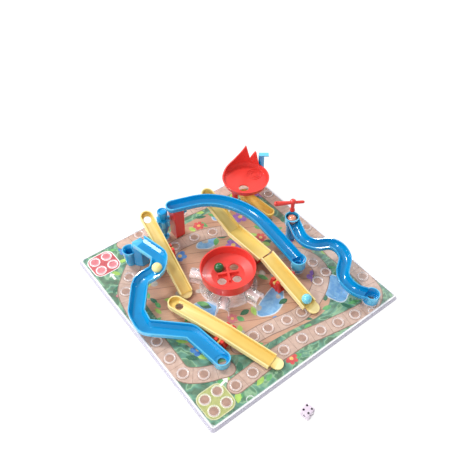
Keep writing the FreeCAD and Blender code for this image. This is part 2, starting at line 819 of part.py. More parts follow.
def make_turn_knob():
    place = knob_place(0.0)
    bottom = deck + knob_skirt_lift
    body_bottom = bottom + knob_skirt_height
    skirt = Part.makeCone(knob_skirt_radius, knob_skirt_top_radius, knob_skirt_height,
                          Vector(place.x, place.y, bottom))
    body = Part.makeCylinder(knob_body_radius - knob_lobe_radius, knob_body_height,
                             Vector(place.x, place.y, body_bottom))
    lobes = []
    for index in range(knob_lobes):
        lobe = polar(place, knob_body_radius - knob_lobe_radius, index * 360.0 / knob_lobes)
        lobes.append(Part.makeCylinder(knob_lobe_radius, knob_body_height,
                                       Vector(lobe.x, lobe.y, body_bottom)))
    neck_bottom = body_bottom + knob_body_height
    head_bottom = neck_bottom + knob_neck_height
    head_top = head_bottom + knob_head_height
    neck = Part.makeCylinder(knob_neck_radius, knob_neck_height,
                             Vector(place.x, place.y, neck_bottom))
    head = Part.makeCylinder(knob_head_radius, knob_head_height,
                             Vector(place.x, place.y, head_bottom))
    head = head.makeFillet(knob_head_height / 4, head.Edges[:1])
    dish = Part.makeCone(knob_head_radius / 2, knob_head_radius * 3 / 4, knob_dish_depth,
                         Vector(place.x, place.y, head_top - knob_dish_depth))
    knob = skirt.fuse([body, neck, head] + lobes).cut(dish)
    socket_top = deck + knob_peg_height + seat_gap
    socket = Part.makeCylinder(knob_peg_radius + running_clearance, socket_top - bottom,
                               Vector(place.x, place.y, bottom))
    return knob.cut(socket)


# Swirl dish

def dish_hole_place():
    return polar(spot(dish_shares), dish_hole_reach, dish_hole_angle)


def make_swirl_dish():
    centre = spot(dish_shares)
    rim = deck + dish_rim_height
    floor_edge = rim - dish_depth
    floor_low = floor_edge - dish_slope_drop
    inner = dish_radius - dish_wall
    profile = [
        (0.0, floor_low - dish_wall), (inner, floor_edge - dish_wall), (dish_radius, rim),
        (inner, rim), (inner - dish_wall, floor_edge), (0.0, floor_low),
    ]
    dish = revolve(profile, centre)
    swirl = polar(centre, dish_swirl_reach, dish_swirl_angle)
    for radius in dish_groove_radii:
        groove_top = floor_edge + dish_depth
        groove_bottom = floor_low + dish_slope_drop / 2 - dish_groove_depth
        dish = dish.cut(upright_tube(swirl, radius, radius - dish_groove_width,
                                     groove_bottom, groove_top))
    dish = dish.fuse(flame_wall(centre, floor_edge, rim))
    hole = dish_hole_place()
    dish = dish.cut(Part.makeCylinder(dish_hole_diameter / 2, dish_rim_height,
                                      Vector(hole.x, hole.y, deck + dish_depth)))
    saddle = tower_lug_box(seat_gap)
    return dish.cut(saddle)


def flame_wall(centre, bottom, rim):
    inner = dish_radius - dish_wall
    tube = upright_tube(centre, dish_radius, inner, bottom + dish_wall, rim + flame_height)
    span = dish_radius * flame_half_span_share
    rise = [Vector(x * dish_radius, 0, rim + z * flame_height) for x, z in flame_rise_shares]
    left = Vector(-span, 0, rim - dish_wall)
    low_left = Vector(-span, 0, bottom)
    low_right = Vector(span, 0, bottom)
    right = Vector(span, 0, rim)
    notch = Vector(flame_notch_shares[0] * dish_radius, 0,
                   rim + flame_notch_shares[1] * flame_height)
    tip = Vector(flame_second_tip_shares[0] * dish_radius, 0,
                 rim + flame_second_tip_shares[1] * flame_height)
    curve = Part.BSplineCurve()
    curve.interpolate([left] + rise)
    sides = [curve.toShape()]
    for start, end in ((rise[-1], notch), (notch, tip), (tip, right), (right, low_right),
                       (low_right, low_left), (low_left, left)):
        sides.append(Part.LineSegment(start, end).toShape())
    outline = Part.Face(Part.Wire(sides))
    block = outline.extrude(Vector(0, dish_radius + overrun, 0))
    block.rotate(Vector(0, 0, 0), Vector(0, 0, 1), flame_angle - 90)
    block.translate(Vector(centre.x, centre.y, 0))
    return tube.common(block)


def make_dish_post():
    place = spot(dish_post_shares)
    centre = spot(dish_shares)
    reach = place.sub(centre).Length
    inner = dish_radius - dish_wall
    underside = deck + dish_rim_height - dish_depth - dish_wall
    underside -= dish_slope_drop * (1 - (reach - dish_post_radius) / inner)
    top = underside - seat_gap / 3
    return Part.makeCylinder(dish_post_radius, top - deck, Vector(place.x, place.y, deck))


def tower_place():
    return polar(spot(dish_shares), dish_radius + tower_gap, tower_angle)


def tower_foot_room():
    side = tower_foot + 2 * seat_gap
    corner = tower_place() - Vector(side / 2, side / 2, -deck)
    return Part.makeBox(side, side, rim_height, corner)


def tower_lug_box(grow):
    place = tower_place()
    centre = spot(dish_shares)
    toward = flat_direction(place, centre)
    reach = place.sub(centre).Length - dish_radius + tower_lug
    box = Part.makeBox(reach, tower_waist + 2 * grow, tower_lug + 2 * grow,
                       Vector(0, -tower_waist / 2 - grow, -tower_lug - grow))
    box.rotate(Vector(0, 0, 0), Vector(0, 0, 1), math.degrees(math.atan2(toward.y, toward.x)))
    box.translate(Vector(place.x, place.y, deck + dish_rim_height - dish_depth - dish_wall))
    return box


def make_dish_tower():
    place = tower_place() + Vector(0, 0, deck)
    top = place + Vector(0, 0, tower_height)
    sections = []
    for centre, size in ((place, tower_foot), (top, tower_waist)):
        half = size / 2
        corners = [centre + Vector(x * half, y * half, 0)
                   for x, y in ((-1, -1), (1, -1), (1, 1), (-1, 1))]
        sections.append(Part.makePolygon(corners + corners[:1]))
    tower = Part.makeLoft(sections, True, True)
    plate = Part.makeBox(tower_plate_length, tower_plate_width, tower_plate_thickness,
                         Vector(-tower_plate_width / 2, -tower_plate_width / 2, 0))
    plate.rotate(Vector(0, 0, 0), Vector(0, 0, 1), tower_plate_turn)
    plate.translate(top)
    dish = spot(dish_shares, deck + dish_rim_height - dish_depth - dish_wall - seat_gap)
    beside = Part.makeCylinder(dish_radius + seat_gap, tower_height, dish)
    return tower.cut(beside).fuse(tower_lug_box(0.0)).fuse(plate)


def make_dish_chute():
    start = spot(chute_shares[0])
    end = spot(chute_shares[1])
    stations = []
    along = flat_direction(start, end)
    for index in range(chute_spans + 1):
        share = index / chute_spans
        height = deck + chute_start_height + share * (chute_end_height - chute_start_height)
        place = start + (end - start) * share
        stations.append((Vector(place.x, place.y, height), along))
    half = chute_width / 2
    inner_half = half - channel_wall
    depth = channel_straight + half
    outer = channel_solid(stations, half, channel_straight, 0.0)
    inner = channel_solid(stations, inner_half, channel_straight, overrun)
    head = stations[0][0]
    for station in ((head, along), (stations[-1][0], -along)):
        outer = outer.fuse(round_end(station, half, 0.0))
        inner = inner.fuse(round_end(station, inner_half, overrun))
    foot = Part.makeCylinder(chute_foot_radius, head.z - depth + channel_wall / 2 - deck,
                             Vector(head.x, head.y, deck))
    return outer.fuse(foot).cut(inner)


# See-saw ladders

def ladder_frame(ladder):
    """Lengths, heights and turn of one ladder, worked out from its places."""
    near = spot(ladder["near_shares"])
    far = spot(ladder["far_shares"])
    pitch = math.radians(ladder["pitch"])
    far_pitch = math.radians(ladder["pitch"] + ladder["bend"])
    plan_length = far.sub(near).Length
    near_length = plan_length * ladder["bend_share"] / math.cos(pitch)
    far_length = plan_length * (1 - ladder["bend_share"]) / math.cos(far_pitch)
    near_height = ladder["near_height"]
    if near_height is None:
        near_height = seat_gap + ladder_height * math.cos(pitch)
        near_height += ladder["tab_reach"] * math.sin(pitch)
    heading = math.degrees(math.atan2(far.y - near.y, far.x - near.x))
    turn = Rotation(Vector(0, 0, 1), heading)
    turn = turn.multiply(Rotation(Vector(0, 1, 0), -ladder["pitch"]))
    origin = Vector(near.x, near.y, deck + near_height)
    pin_along = plan_length * ladder["pivot_share"] / math.cos(pitch)
    pin_local = Vector(pin_along, 0, -ladder_height - pin_drop)
    return {
        "placement": FreeCAD.Placement(origin, turn), "heading": heading,
        "near_length": near_length, "far_length": far_length, "pin_local": pin_local,
        "pin": origin + turn.multVec(pin_local), "bend": math.radians(ladder["bend"]),
    }


def far_axes(frame):
    """Directions along and square to the far part of a ladder."""
    bend = frame["bend"]
    return Vector(math.cos(bend), 0, math.sin(bend)), Vector(-math.sin(bend), 0, math.cos(bend))


def bent_strip(frame, start, past_end, top, bottom, half):
    """A strip along the ladder from its low end to its far end, bent where it bends."""
    along, up = far_axes(frame)
    corner = Vector(frame["near_length"], 0, 0)
    tip = corner + along * (frame["far_length"] + past_end)
    lean = math.tan(frame["bend"] / 2)
    points = [
        Vector(start, 0, top), corner + Vector(-lean * top, 0, top), tip + up * top,
        tip + up * bottom, corner + Vector(-lean * bottom, 0, bottom),
        Vector(start, 0, bottom),
    ]
    points = [point - Vector(0, half, 0) for point in points]
    face = Part.Face(Part.makePolygon(points + points[:1]))
    return face.extrude(Vector(0, 2 * half, 0))


def round_tip(strip, tip_along, start, half, reach):
    box = Part.makeBox(tip_along - half - start, 2 * half, 2 * reach,
                       Vector(start, -half, -reach))
    cap = Part.makeCylinder(half, 2 * reach, Vector(tip_along - half, 0, -reach))
    return strip.common(box.fuse(cap))


def ladder_pin(ladder, frame):
    half = max(ladder["width"], ladder["wide_width"]) / 2 + ear_gap + ear_thickness + pin_tip
    place = frame["pin_local"]
    hub = Part.makeBox(2 * hub_half_length, 2 * hub_half_width, pin_drop + ladder_floor / 2,
                       Vector(place.x - hub_half_length, -hub_half_width, place.z))
    pin = Part.makeCylinder(pin_radius, 2 * half, place - Vector(0, half, 0), Vector(0, 1, 0))
    return hub.fuse(pin)


def end_wedge(undercut, half):
    """Slants the low end, so a tipping neighbour's end passes it."""
    below = -ladder_height - overrun
    slant = undercut * (1 + overrun / ladder_height)
    points = [Vector(0, -half, 0), Vector(slant, -half, below),
              Vector(-overrun, -half, below), Vector(-overrun, -half, 0)]
    return Part.Face(Part.makePolygon(points + points[:1])).extrude(Vector(0, 2 * half, 0))


def make_ladder(ladder):
    frame = ladder_frame(ladder)
    along, up = far_axes(frame)
    half = ladder["width"] / 2
    inner_half = half - ladder_wall
    floor = ladder_floor - ladder_height
    reach = frame["near_length"] + frame["far_length"]
    tip_along = frame["near_length"] + along.x * frame["far_length"]
    body = bent_strip(frame, 0.0, 0.0, 0.0, -ladder_height, half)
    if ladder["hole_back"] is None:
        channel = bent_strip(frame, ladder_wall, overrun, overrun, floor, inner_half)
    else:
        channel = bent_strip(frame, ladder_wall, 0.0, overrun, floor, inner_half)
        body = round_tip(body, tip_along, -overrun, half, reach)
        channel = round_tip(channel, tip_along - ladder_wall, 0.0, inner_half, reach)
    if ladder["wide_width"] > 0:
        wide_half = ladder["wide_width"] / 2
        wide_inner = wide_half - ladder_wall
        body = body.fuse(Part.makeBox(frame["near_length"], 2 * wide_half, ladder_height,
                                      Vector(0, -wide_half, -ladder_height)))
        channel = channel.fuse(Part.makeBox(frame["near_length"], 2 * wide_inner,
                                            ladder_height, Vector(0, -wide_inner, floor)))
    body = body.fuse(ladder_pin(ladder, frame))
    if ladder["tab_reach"] > 0:
        tab_centre = Vector(ladder["tab_radius"] - ladder["tab_reach"],
                            -ladder["tab_offset"], -ladder_height)
        tab = Part.makeCylinder(ladder["tab_radius"], tab_thickness, tab_centre)
        bridge_length = max(ladder_wall, ladder_wall - tab_centre.x)
        bridge = Part.makeBox(bridge_length, 2 * ladder["tab_radius"], tab_thickness,
                              Vector(ladder_wall - bridge_length,
                                     tab_centre.y - ladder["tab_radius"], tab_centre.z))
        body = body.fuse([tab, bridge])
        sill = Part.makeBox(ladder_wall + 2 * overrun, 2 * inner_half, ladder_height,
                            Vector(-2 * overrun, -inner_half, floor + ladder_sill))
        channel = channel.fuse(sill)
    body = body.cut(channel)
    if ladder["undercut"] > 0:
        body = body.cut(end_wedge(ladder["undercut"], reach))
    if ladder["hole_back"] is not None:
        place = Vector(frame["near_length"], 0, 0)
        place += along * (frame["far_length"] - ladder["hole_back"])
        place -= up * (ladder_height + overrun)
        body = body.cut(Part.makeCylinder(ladder_hole_diameter / 2, ladder_height, place, up))
    body = body.removeSplitter()
    body.Placement = frame["placement"].multiply(body.Placement)
    return body


def make_fulcrum(ladder):
    frame = ladder_frame(ladder)
    pin = frame["pin"]
    inner = max(ladder["width"], ladder["wide_width"]) / 2 + ear_gap
    slot = pin_radius + running_clearance
    top = pin.z + ladder["horn_height"]
    parts = [Part.makeBox(2 * ear_foot_half, 2 * (inner + ear_thickness), fulcrum_base,
                          Vector(-ear_foot_half, -inner - ear_thickness, deck))]
    outline = [
        (-ear_foot_half, deck), (-ear_horn_half, top), (-slot, top), (-slot, pin.z),
        (slot, pin.z), (slot, top), (ear_horn_half, top), (ear_foot_half, deck),
    ]
    middle = (slot + ear_horn_half) / 2
    for side in (-1, 1):
        face_y = inner if side > 0 else -inner - ear_thickness
        rib_y = inner + ear_thickness if side > 0 else -inner - ear_thickness - ear_rib
        points = [Vector(x, face_y, z) for x, z in outline]
        ear = Part.Face(Part.makePolygon(points + points[:1]))
        ear = ear.extrude(Vector(0, ear_thickness, 0))
        ear = ear.cut(Part.makeCylinder(slot, ear_thickness, Vector(0, face_y, pin.z),
                                        Vector(0, 1, 0)))
        parts.append(ear)
        for x in (-middle, middle):
            parts.append(Part.makeBox(ear_rib, ear_rib, (top - deck) * 3 / 4,
                                      Vector(x - ear_rib / 2, rib_y, deck)))
    stand = parts[0].fuse(parts[1:]).removeSplitter()
    stand.rotate(Vector(0, 0, 0), Vector(0, 0, 1), frame["heading"])
    stand.translate(Vector(pin.x, pin.y, 0))
    return stand


def fulcrum_room(ladder):
    """The space round a ladder's stand that the tray's rings and the mound leave free."""
    frame = ladder_frame(ladder)
    pin = frame["pin"]
    half = ear_foot_half + seat_gap
    inner = max(ladder["width"], ladder["wide_width"]) / 2 + ear_gap
    reach = inner + ear_thickness + ear_rib + seat_gap
    room = Part.makeBox(2 * half, 2 * reach, mound_height, Vector(-half, -reach, deck))
    room.rotate(Vector(0, 0, 0), Vector(0, 0, 1), frame["heading"])
    room.translate(Vector(pin.x, pin.y, 0))
    return room


# Marbles and die

def marble(centre):
    return Part.makeSphere(marble_radius, centre)


def seat_lift(hole_diameter):
    """Height of a marble's centre above the plane of the hole it sits in."""
    return math.sqrt(marble_radius ** 2 - (hole_diameter / 2) ** 2)


def make_green_marble():
    seat = bowl_hole_centres()[1]
    lift = seat_lift(bowl_hole_diameter) + seat_gap
    return marble(Vector(seat.x, seat.y, mound_top + bowl_floor + lift))


def make_yellow_marble():
    corner = zigzag_points()[2]
    places = [place for place, _ in zigzag_stations()]
    bend = min(places, key=corner.distanceToPoint)
    floor = bend.z - zigzag_height + zigzag_wall
    return marble(Vector(bend.x, bend.y, floor + marble_radius + 2 * seat_gap))


def make_orange_marble():
    head = s_stations()[0][0]
    floor = head.z - channel_straight - s_width / 2 + channel_wall
    lift = seat_lift(end_hole_diameter) + seat_gap
    return marble(Vector(head.x, head.y, floor + lift))


def make_blue_marble():
    frame = ladder_frame(centre_ladder)
    local = Vector(marble_radius, 0, ladder_floor - ladder_height + marble_radius + seat_gap)
    return marble(frame["placement"].multVec(local))


def make_die():
    half = die_size / 2
    die = Part.makeBox(die_size, die_size, die_size, Vector(-half, -half, -half))
    die = die.makeFillet(die_edge_radius, die.Edges)
    step = pip_pitch
    faces = {
        1: (Vector(0, 0, 1), Vector(1, 0, 0)), 6: (Vector(0, 0, -1), Vector(1, 0, 0)),
        2: (Vector(0, -1, 0), Vector(1, 0, 0)), 5: (Vector(0, 1, 0), Vector(1, 0, 0)),
        3: (Vector(1, 0, 0), Vector(0, 1, 0)), 4: (Vector(-1, 0, 0), Vector(0, 1, 0)),
    }
    corners = [(-1, -1), (1, 1), (-1, 1), (1, -1)]
    layouts = {1: [(0, 0)], 2: corners[:2], 3: corners[:2] + [(0, 0)], 4: corners,
               5: corners + [(0, 0)], 6: corners + [(-1, 0), (1, 0)]}
    pips = []
    for number, (normal, across) in faces.items():
        up = normal.cross(across)
        for i, j in layouts[number]:
            middle = normal * (half + pip_radius - pip_depth) + across * (i * step) + up * (j * step)
            pips.append(Part.makeSphere(pip_radius, middle))
    die = die.cut(pips)
    die.rotate(Vector(0, 0, 0), Vector(0, 1, 0), 90)
    die.rotate(Vector(0, 0, 0), Vector(0, 0, 1), die_turn)
    die.translate(spot(die_shares, half))
    return die


os.makedirs("parts", exist_ok=True)
nodes = {
    "base_board": make_base_board(),
    "printed_card": make_printed_card(),
    "clear_tray": make_clear_tray(),
    "clear_mound": make_clear_mound(),
    "central_bowl": make_central_bowl(),
    "zigzag_slide": make_zigzag_slide(),
    "arch_slide": make_arch_slide(),
    "arch_post": make_arch_post(),
    "s_slide": make_s_slide(),
    "turn_handle": make_turn_handle(),
    "knob_peg": make_knob_peg(),
    "turn_knob": make_turn_knob(),
    "swirl_dish": make_swirl_dish(),
    "dish_post": make_dish_post(),
    "dish_tower": make_dish_tower(),
    "dish_chute": make_dish_chute(),
    "left_ladder": make_ladder(left_ladder),
    "left_fulcrum": make_fulcrum(left_ladder),
    "front_ladder": make_ladder(front_ladder),
    "front_fulcrum": make_fulcrum(front_ladder),
    "centre_ladder": make_ladder(centre_ladder),
    "centre_fulcrum": make_fulcrum(centre_ladder),
    "upper_ladder": make_ladder(upper_ladder),
    "upper_fulcrum": make_fulcrum(upper_ladder),
    "green_marble": make_green_marble(),
    "yellow_marble": make_yellow_marble(),
    "orange_marble": make_orange_marble(),
    "blue_marble": make_blue_marble(),
    "die": make_die(),
}
for name, shape in nodes.items():
    print(name, "solids", len(shape.Solids), "valid", shape.isValid(), "volume",
          round(shape.Volume, 1))
    shape.exportStep("parts/" + name + ".step")
for name, ladder in (("left", left_ladder), ("front", front_ladder),
                     ("centre", centre_ladder), ("upper", upper_ladder)):
    pivot = ladder_frame(ladder)
    print(name, "pivot", [round(value, 2) for value in pivot["pin"]], "heading",
          round(pivot["heading"], 2))
print("handle axis", [round(value, 2) for value in boss_place()])
print("knob axis", [round(value, 2) for value in knob_place(0.0)])
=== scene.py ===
import math
import random

import bmesh
import bpy
from mathutils import Matrix, Vector


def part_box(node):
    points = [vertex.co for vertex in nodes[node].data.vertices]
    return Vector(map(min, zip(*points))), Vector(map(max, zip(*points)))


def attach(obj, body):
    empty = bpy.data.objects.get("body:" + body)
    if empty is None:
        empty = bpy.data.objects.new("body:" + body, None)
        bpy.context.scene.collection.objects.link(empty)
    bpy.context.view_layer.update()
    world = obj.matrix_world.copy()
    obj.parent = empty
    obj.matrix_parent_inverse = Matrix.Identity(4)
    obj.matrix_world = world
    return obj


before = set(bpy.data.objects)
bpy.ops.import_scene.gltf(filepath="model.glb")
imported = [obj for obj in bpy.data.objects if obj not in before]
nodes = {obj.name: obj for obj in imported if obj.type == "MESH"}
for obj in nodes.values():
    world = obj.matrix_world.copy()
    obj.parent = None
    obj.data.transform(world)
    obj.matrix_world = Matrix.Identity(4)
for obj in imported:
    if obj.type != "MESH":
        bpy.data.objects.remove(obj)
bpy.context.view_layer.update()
scene = bpy.context.scene
mm = 0.001
sharpFrom, sharpTo = 0.53, 0.62  # how pointed a surface is where a moulded edge starts and ends
print("frame loaded:", len(nodes), "nodes")


# Shader maths: a Link is one socket, and the usual operators add Math nodes to it

class Link:
    def __init__(self, finish, socket):
        self.finish = finish
        self.socket = socket

    def maths(self, operation, first, second):
        return self.finish.node("ShaderNodeMath", {"operation": operation}, {0: first, 1: second})

    def __add__(self, other):
        return self.maths("ADD", self, other)

    def __radd__(self, other):
        return self.maths("ADD", other, self)

    def __sub__(self, other):
        return self.maths("SUBTRACT", self, other)

    def __rsub__(self, other):
        return self.maths("SUBTRACT", other, self)

    def __mul__(self, other):
        return self.maths("MULTIPLY", self, other)

    def __rmul__(self, other):
        return self.maths("MULTIPLY", other, self)

    def __truediv__(self, other):
        return self.maths("DIVIDE", self, other)

    def __gt__(self, other):
        return self.maths("GREATER_THAN", self, other)

    def __lt__(self, other):
        return self.maths("LESS_THAN", self, other)


class Finish:
    def __init__(self, name):
        self.material = bpy.data.materials.new(name)
        self.material.use_nodes = True
        self.tree = self.material.node_tree
        self.tree.nodes.clear()
        self.place = self.node("ShaderNodeTexCoord", pick="Object")

    def node(self, kind, settings=None, values=None, pick=0):
        added = self.tree.nodes.new(kind)
        for key, value in (settings or {}).items():
            if key == "stops":
                self.setStops(added.color_ramp, value)
            else:
                setattr(added, key, value)
        for key, value in (values or {}).items():
            if isinstance(value, Link):
                self.tree.links.new(value.socket, added.inputs[key])
            else:
                added.inputs[key].default_value = value
        return Link(self, added.outputs[pick])

    def setStops(self, ramp, stops):
        while len(ramp.elements) < len(stops):
            ramp.elements.new(0.5)
        for element, (where, colour) in zip(ramp.elements, stops):
            element.position = where
            element.color = colour

    def noise(self, size, detail=3.0, warp=0.0, place=None):
        return self.node("ShaderNodeTexNoise", {},
                         {"Vector": place or self.place, "Scale": 1.0 / (size * mm),
                          "Detail": detail, "Distortion": warp})

    def axes(self, place):
        split = self.node("ShaderNodeSeparateXYZ", {}, {0: place}).socket.node
        return [Link(self, output) for output in split.outputs]

    def size(self, value):
        return self.node("ShaderNodeMath", {"operation": "ABSOLUTE"}, {0: value})

    def larger(self, first, second):
        return self.node("ShaderNodeMath", {"operation": "MAXIMUM"}, {0: first, 1: second})

    def sharpEdges(self):
        sharp = self.node("ShaderNodeNewGeometry", pick="Pointiness")
        return self.node("ShaderNodeMapRange", {"clamp": True},
                         {"Value": sharp, "From Min": sharpFrom, "From Max": sharpTo})

    def blendColours(self, share, first, second):
        mixed = self.tree.nodes.new("ShaderNodeMix")
        mixed.data_type = "RGBA"
        for key, value in (("Factor", share), ("A", first), ("B", second)):
            kind = "NodeSocketFloatFactor" if key == "Factor" else "NodeSocketColor"
            socket = next(s for s in mixed.inputs if s.name == key and s.bl_idname == kind)
            if isinstance(value, Link):
                self.tree.links.new(value.socket, socket)
            else:
                socket.default_value = value
        out = next(s for s in mixed.outputs if s.bl_idname == "NodeSocketColor")
        return Link(self, out)

    def bump(self, height, depth):
        return self.node("ShaderNodeBump", {}, {"Height": height, "Distance": depth * mm,
                                                "Strength": 1.0})

    def principled(self, **values):
        named = {key.replace("_", " "): value for key, value in values.items()}
        return self.node("ShaderNodeBsdfPrincipled", {}, named)

    def done(self, shader):
        out = self.tree.nodes.new("ShaderNodeOutputMaterial")
        self.tree.links.new(shader.socket, out.inputs["Surface"])
        return self.material


def shade(red, green, blue):
    # screen colours from 0 to 255, as the linear values that shaders take
    def linear(part):
        part = part / 255
        return part / 12.92 if part <= 0.04045 else ((part + 0.055) / 1.055) ** 2.4
    return (linear(red), linear(green), linear(blue), 1.0)


# Plastics

moulding = {"cloudSize": 38.0, "streakSize": 6.0, "streakWarp": 0.6, "streakRough": 0.08,
            "fineSize": 0.5, "fineShare": 0.15, "bumpDepth": 0.12, "coatRoughness": 0.04}


def mouldedPlastic(name, colour, deep, roughness, grain=0.0, grainSize=1.0, coat=0.0,
                   shine=0.5, edgeSheen=(255, 255, 255), edgeSheenShare=0.0):
    # painted highlight: sharp outer edges show a paler tone, standing in for the light that the
    # thin rims catch and let through
    finish = Finish(name)
    cloud = finish.noise(moulding["cloudSize"], 2.0)
    tone = finish.blendColours(cloud, shade(*colour), shade(*deep))
    # painted highlight: the pale edge colour is mixed in on sharp edges
    tone = finish.blendColours(finish.sharpEdges() * edgeSheenShare, tone, shade(*edgeSheen))
    streak = finish.noise(moulding["streakSize"], 4.0, moulding["streakWarp"])
    pebble = finish.noise(grainSize, 2.0)
    fine = finish.noise(moulding["fineSize"], 2.0)
    height = pebble * grain + fine * moulding["fineShare"]
    normal = finish.bump(height, moulding["bumpDepth"])
    rough = roughness + (streak - 0.5) * moulding["streakRough"]
    return finish.done(finish.principled(Base_Color=tone, Roughness=rough, Coat_Weight=coat,
                                         Coat_Roughness=moulding["coatRoughness"],
                                         Specular_IOR_Level=shine, Normal=normal))


clearSheet = {"streakWarp": 0.8, "clear": (251, 251, 253), "frostRoughness": 0.3,
              "shadowShare": 0.8}


def clearPlastic(name, settings):
    # clear where it is flat; painted highlight: whiter on what stands up from the sheet, on sharp
    # ridges and on the top of the outer edge; painted shade: a greyer tint below the raised parts
    # and on the outer side; a faint painted glow in the frosted part
    finish = Finish(name)
    x, y, z = finish.axes(finish.place)
    raised = z > settings["raisedFrom"] * mm
    ridge = finish.sharpEdges()
    outside = finish.larger(finish.size(x) - settings["edgeX"] * mm,
                            finish.size(y) - settings["edgeY"] * mm) > 0.0
    cloud = finish.noise(settings["cloudSize"], 2.0) * settings["cloud"]
    streak = finish.noise(settings["rippleSize"], 3.0, clearSheet["streakWarp"])
    # painted highlight: raised parts and sharp ridges get more of the white frost, on top of the
    # real frost and its clouds
    frostAndSheen = settings["frostAndSheen"] + cloud + raised * settings["raisedSheen"] * streak
    frostAndSheen = frostAndSheen + ridge * settings["edgeSheen"]
    # painted shade and highlight along the outer edge: its side shows the frost in the greyer
    # tint, its top whiter
    rim = outside * (settings["outerShadeAndSheen"] + raised * settings["rimSheen"])
    frostAndSheen = finish.larger(frostAndSheen, rim)
    facing = finish.node("ShaderNodeFresnel", {}, {"IOR": settings["index"]})
    normal = finish.bump(streak, settings["ripple"])
    shine = finish.node("ShaderNodeBsdfGlossy", {},
                        {"Color": (1, 1, 1, 1), "Roughness": settings["roughness"],
                         "Normal": normal})
    clear = finish.node("ShaderNodeBsdfTransparent", {}, {"Color": shade(*clearSheet["clear"])})
    # painted shade: below the raised parts the frost takes the greyer side tint; the frost also
    # glows a little, which is painted light
    tone = finish.blendColours(raised, shade(*settings["sideShadeTint"]), shade(*settings["tint"]))
    frost = finish.principled(Base_Color=tone, Roughness=clearSheet["frostRoughness"],
                              Emission_Color=tone, Emission_Strength=settings["lift"])
    body = finish.node("ShaderNodeMixShader", {}, {0: frostAndSheen, 1: clear, 2: frost})
    mixed = finish.node("ShaderNodeMixShader", {}, {0: facing * settings["shine"], 1: body,
                                                    2: shine})
    # the lamps shine through it, so its own shadow stays faint
    shadow = finish.node("ShaderNodeLightPath", pick="Is Shadow Ray")
    thin = finish.node("ShaderNodeBsdfTransparent", {}, {"Color": (1, 1, 1, 1)})
    return finish.done(finish.node("ShaderNodeMixShader", {},
                                   {0: shadow * clearSheet["shadowShare"], 1: mixed, 2: thin}))


# the pale edge colour and its share paint a highlight on sharp edges
plastics = {
    "blue": {"colour": (0, 156, 216), "deep": (0, 144, 206), "roughness": 0.2, "coat": 1.0,
             "shine": 0.25, "edgeSheen": (120, 214, 244), "edgeSheenShare": 0.8},
    "red": {"colour": (232, 70, 60), "deep": (222, 54, 48), "roughness": 0.34, "coat": 0.2},
    "yellow": {"colour": (236, 206, 118), "deep": (228, 192, 98), "roughness": 0.42,
               "grain": 1.5, "grainSize": 1.2, "shine": 0.3,
               "edgeSheen": (255, 240, 180), "edgeSheenShare": 0.8},
    "amber": {"colour": (252, 216, 116), "deep": (248, 206, 98), "roughness": 0.38, "coat": 0.1},
    "grey": {"colour": (206, 204, 216), "deep": (190, 188, 202), "roughness": 0.5},
    "card": {"colour": (110, 150, 120), "deep": (90, 130, 104), "roughness": 0.5},
}
# in these looks the raised, rim and edge whiteness are painted highlights, the greyer side tint
# is painted shade, and the glow is painted light
trayLook = {"index": 1.4, "frostAndSheen": 0.02, "cloud": 0.03, "cloudSize": 30.0, "rippleSize": 9.0,
            "ripple": 0.25, "roughness": 0.12, "tint": (238, 237, 243), "shine": 0.5,
            "raisedFrom": 5.05, "raisedSheen": 0.6, "edgeX": 141.4, "edgeY": 146.4,
            "outerShadeAndSheen": 0.62, "rimSheen": 0.3, "sideShadeTint": (192, 188, 204), "lift": 0.06,
            "edgeSheen": 0.4}
moundLook = {"index": 1.5, "frostAndSheen": 0.0, "cloud": 0.2, "cloudSize": 8.0, "rippleSize": 7.0,
             "ripple": 1.6, "roughness": 0.06, "tint": (246, 232, 232), "shine": 1.2,
             "raisedFrom": 0.0, "raisedSheen": 0.08, "edgeX": 999.0, "edgeY": 999.0,
             "outerShadeAndSheen": 0.0, "rimSheen": 0.0, "sideShadeTint": (246, 232, 232), "lift": 0.25,
             "edgeSheen": 0.45}
made = {name: mouldedPlastic(name + "Plastic", **look) for name, look in plastics.items()}
made["tray"] = clearPlastic("clearTray", trayLook)
made["mound"] = clearPlastic("clearMound", moundLook)
print("plastics mixed")


# Marbles and die

glass = {"veinSize": 5.0, "veinWarp": 1.5, "veinFrom": 0.42, "veinTo": 0.62, "scuffSize": 2.0,
         "scuffShare": 0.05, "coat": 0.6, "coatRoughness": 0.03}


def marbleFinish(name, colour, swirl, roughness):
    finish = Finish(name)
    vein = finish.noise(glass["veinSize"], 3.0, glass["veinWarp"])
    stops = ((glass["veinFrom"], shade(*colour)), (glass["veinTo"], shade(*swirl)))
    band = finish.node("ShaderNodeValToRGB", {"stops": stops}, {0: vein})
    scuff = roughness + finish.noise(glass["scuffSize"], 3.0) * glass["scuffShare"]
    return finish.done(finish.principled(Base_Color=band, Roughness=scuff,
                                         Coat_Weight=glass["coat"],
                                         Coat_Roughness=glass["coatRoughness"]))


def dieFinish(look):
    finish = Finish("dieFinish")
    # a pip is a hollow: it lies below its face, and away from the rounded edges
    parts = finish.node("ShaderNodeVectorMath", {"operation": "SUBTRACT"},
                        {0: finish.place, 1: look["middle"]})
    turned = finish.node("ShaderNodeVectorRotate", {"rotation_type": "Z_AXIS"},
                         {"Vector": parts, "Angle": -math.radians(look["turn"])})
    x, y, z = [finish.size(part) for part in finish.axes(turned)]
    below = finish.larger(finish.larger(x, y), z) < look["half"] - look["skin"]
    reach = look["half"] - look["edge"]
    sides = (x > reach) + (y > reach) + (z > reach)
    hollow = below * (sides < 1.5)
    cloud = finish.noise(look["cloudSize"])
    tone = finish.blendColours(cloud, shade(*look["face"]), shade(*look["deep"]))
    colour = finish.blendColours(hollow, tone, shade(*look["pip"]))
    return finish.done(finish.principled(Base_Color=colour, Roughness=look["roughness"],
                                         Coat_Weight=look["coat"],
                                         Coat_Roughness=look["coatRoughness"]))


